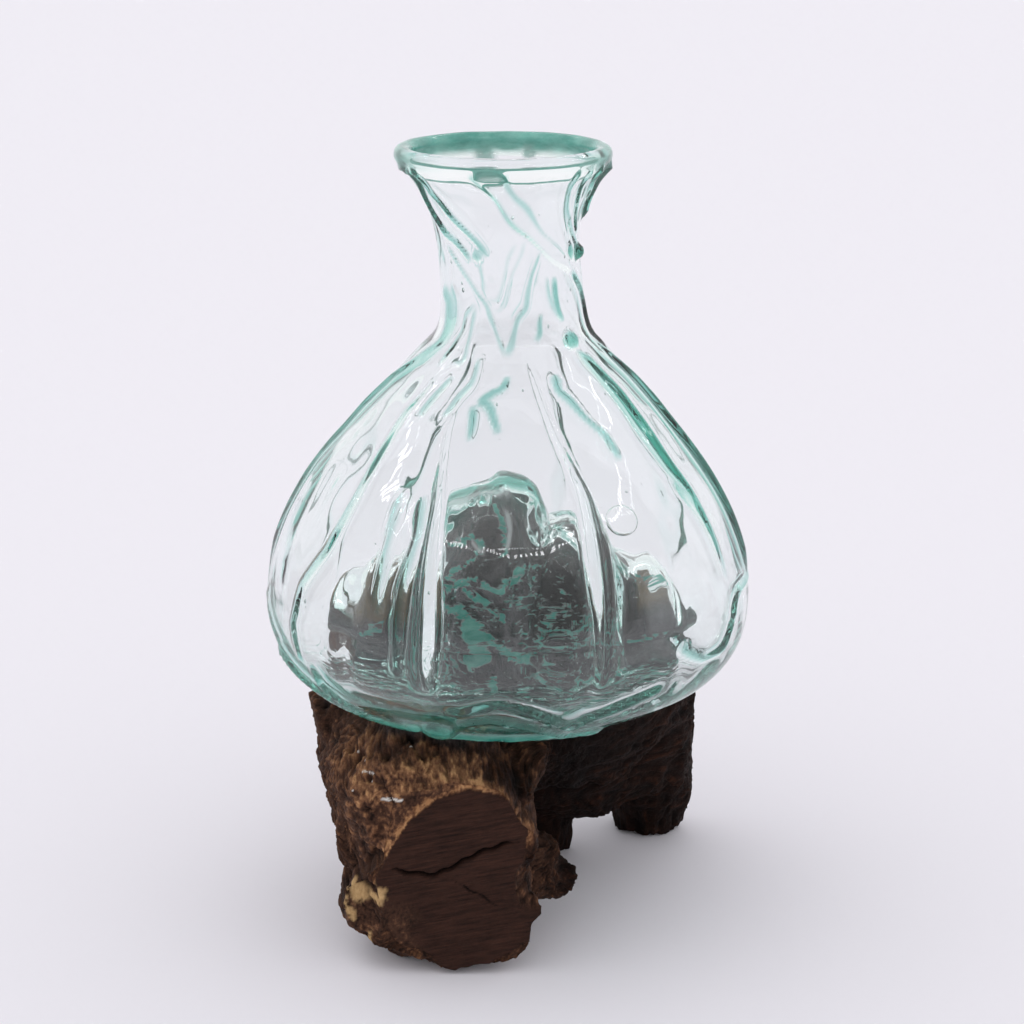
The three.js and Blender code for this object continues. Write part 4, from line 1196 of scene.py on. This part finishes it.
    def grain(self, points):
        """A coordinate that runs along each limb and turns smoothly from one to the next."""
        total = np.zeros((len(points), 3))
        weight = np.zeros(len(points))
        for start, end, width in LIMBS:
            start, end = np.array(start, float), np.array(end, float)
            away, _, _ = distance_to(points, np.array([start, end]))
            along = (end - start) / np.linalg.norm(end - start)
            side = np.cross(along, (0, 0, 1) if abs(along[2]) < 0.8 else (0, 1, 0))
            side /= np.linalg.norm(side)
            over = np.cross(along, side)
            share = np.exp(-((away / width) ** 2) * 2.5)
            local = (points - start) @ np.stack([along, side, over], 1)
            total += share[:, None] * local
            weight += share
        return total / np.maximum(weight, 1e-9)[:, None]


class CARAFE_PT_panel(bpy.types.Panel):
    bl_idname = "CARAFE_PT_panel"
    bl_label = "Carafe"
    bl_space_type = "VIEW_3D"
    bl_region_type = "UI"
    bl_category = "Carafe"

    def draw(self, context):
        for operator, group in (
            ("carafe.stage", context.scene.carafe_stage),
            ("carafe.root", context.scene.carafe_root),
            ("carafe.glass", context.scene.carafe_glass),
        ):
            box = self.layout.box()
            box.operator(operator)
            for name in group.bl_rna.properties.keys():
                if name not in ("rna_type", "name"):
                    box.prop(group, name)


CLASSES = (CarafeGlass, CarafeRoot, CarafeStage, CARAFE_OT_stage, CARAFE_OT_glass, CARAFE_OT_root, CARAFE_PT_panel)


def register():
    for cls in CLASSES:
        bpy.utils.register_class(cls)
    bpy.types.Scene.carafe_glass = PointerProperty(type=CarafeGlass)
    bpy.types.Scene.carafe_root = PointerProperty(type=CarafeRoot)
    bpy.types.Scene.carafe_stage = PointerProperty(type=CarafeStage)


def unregister():
    del bpy.types.Scene.carafe_stage
    del bpy.types.Scene.carafe_root
    del bpy.types.Scene.carafe_glass
    for cls in reversed(CLASSES):
        bpy.utils.unregister_class(cls)


def main():
    register()
    scene = bpy.context.scene
    scene.view_settings.view_transform = "Standard"
    # Light turns many times inside thick glass before it leaves
    scene.cycles.max_bounces = BOUNCES
    scene.cycles.transmission_bounces = BOUNCES
    scene.cycles.glossy_bounces = GLOSSY_BOUNCES
    bpy.ops.carafe.stage()
    bpy.ops.carafe.root()
    bpy.ops.carafe.glass()


if __name__ == "__main__":
    main()
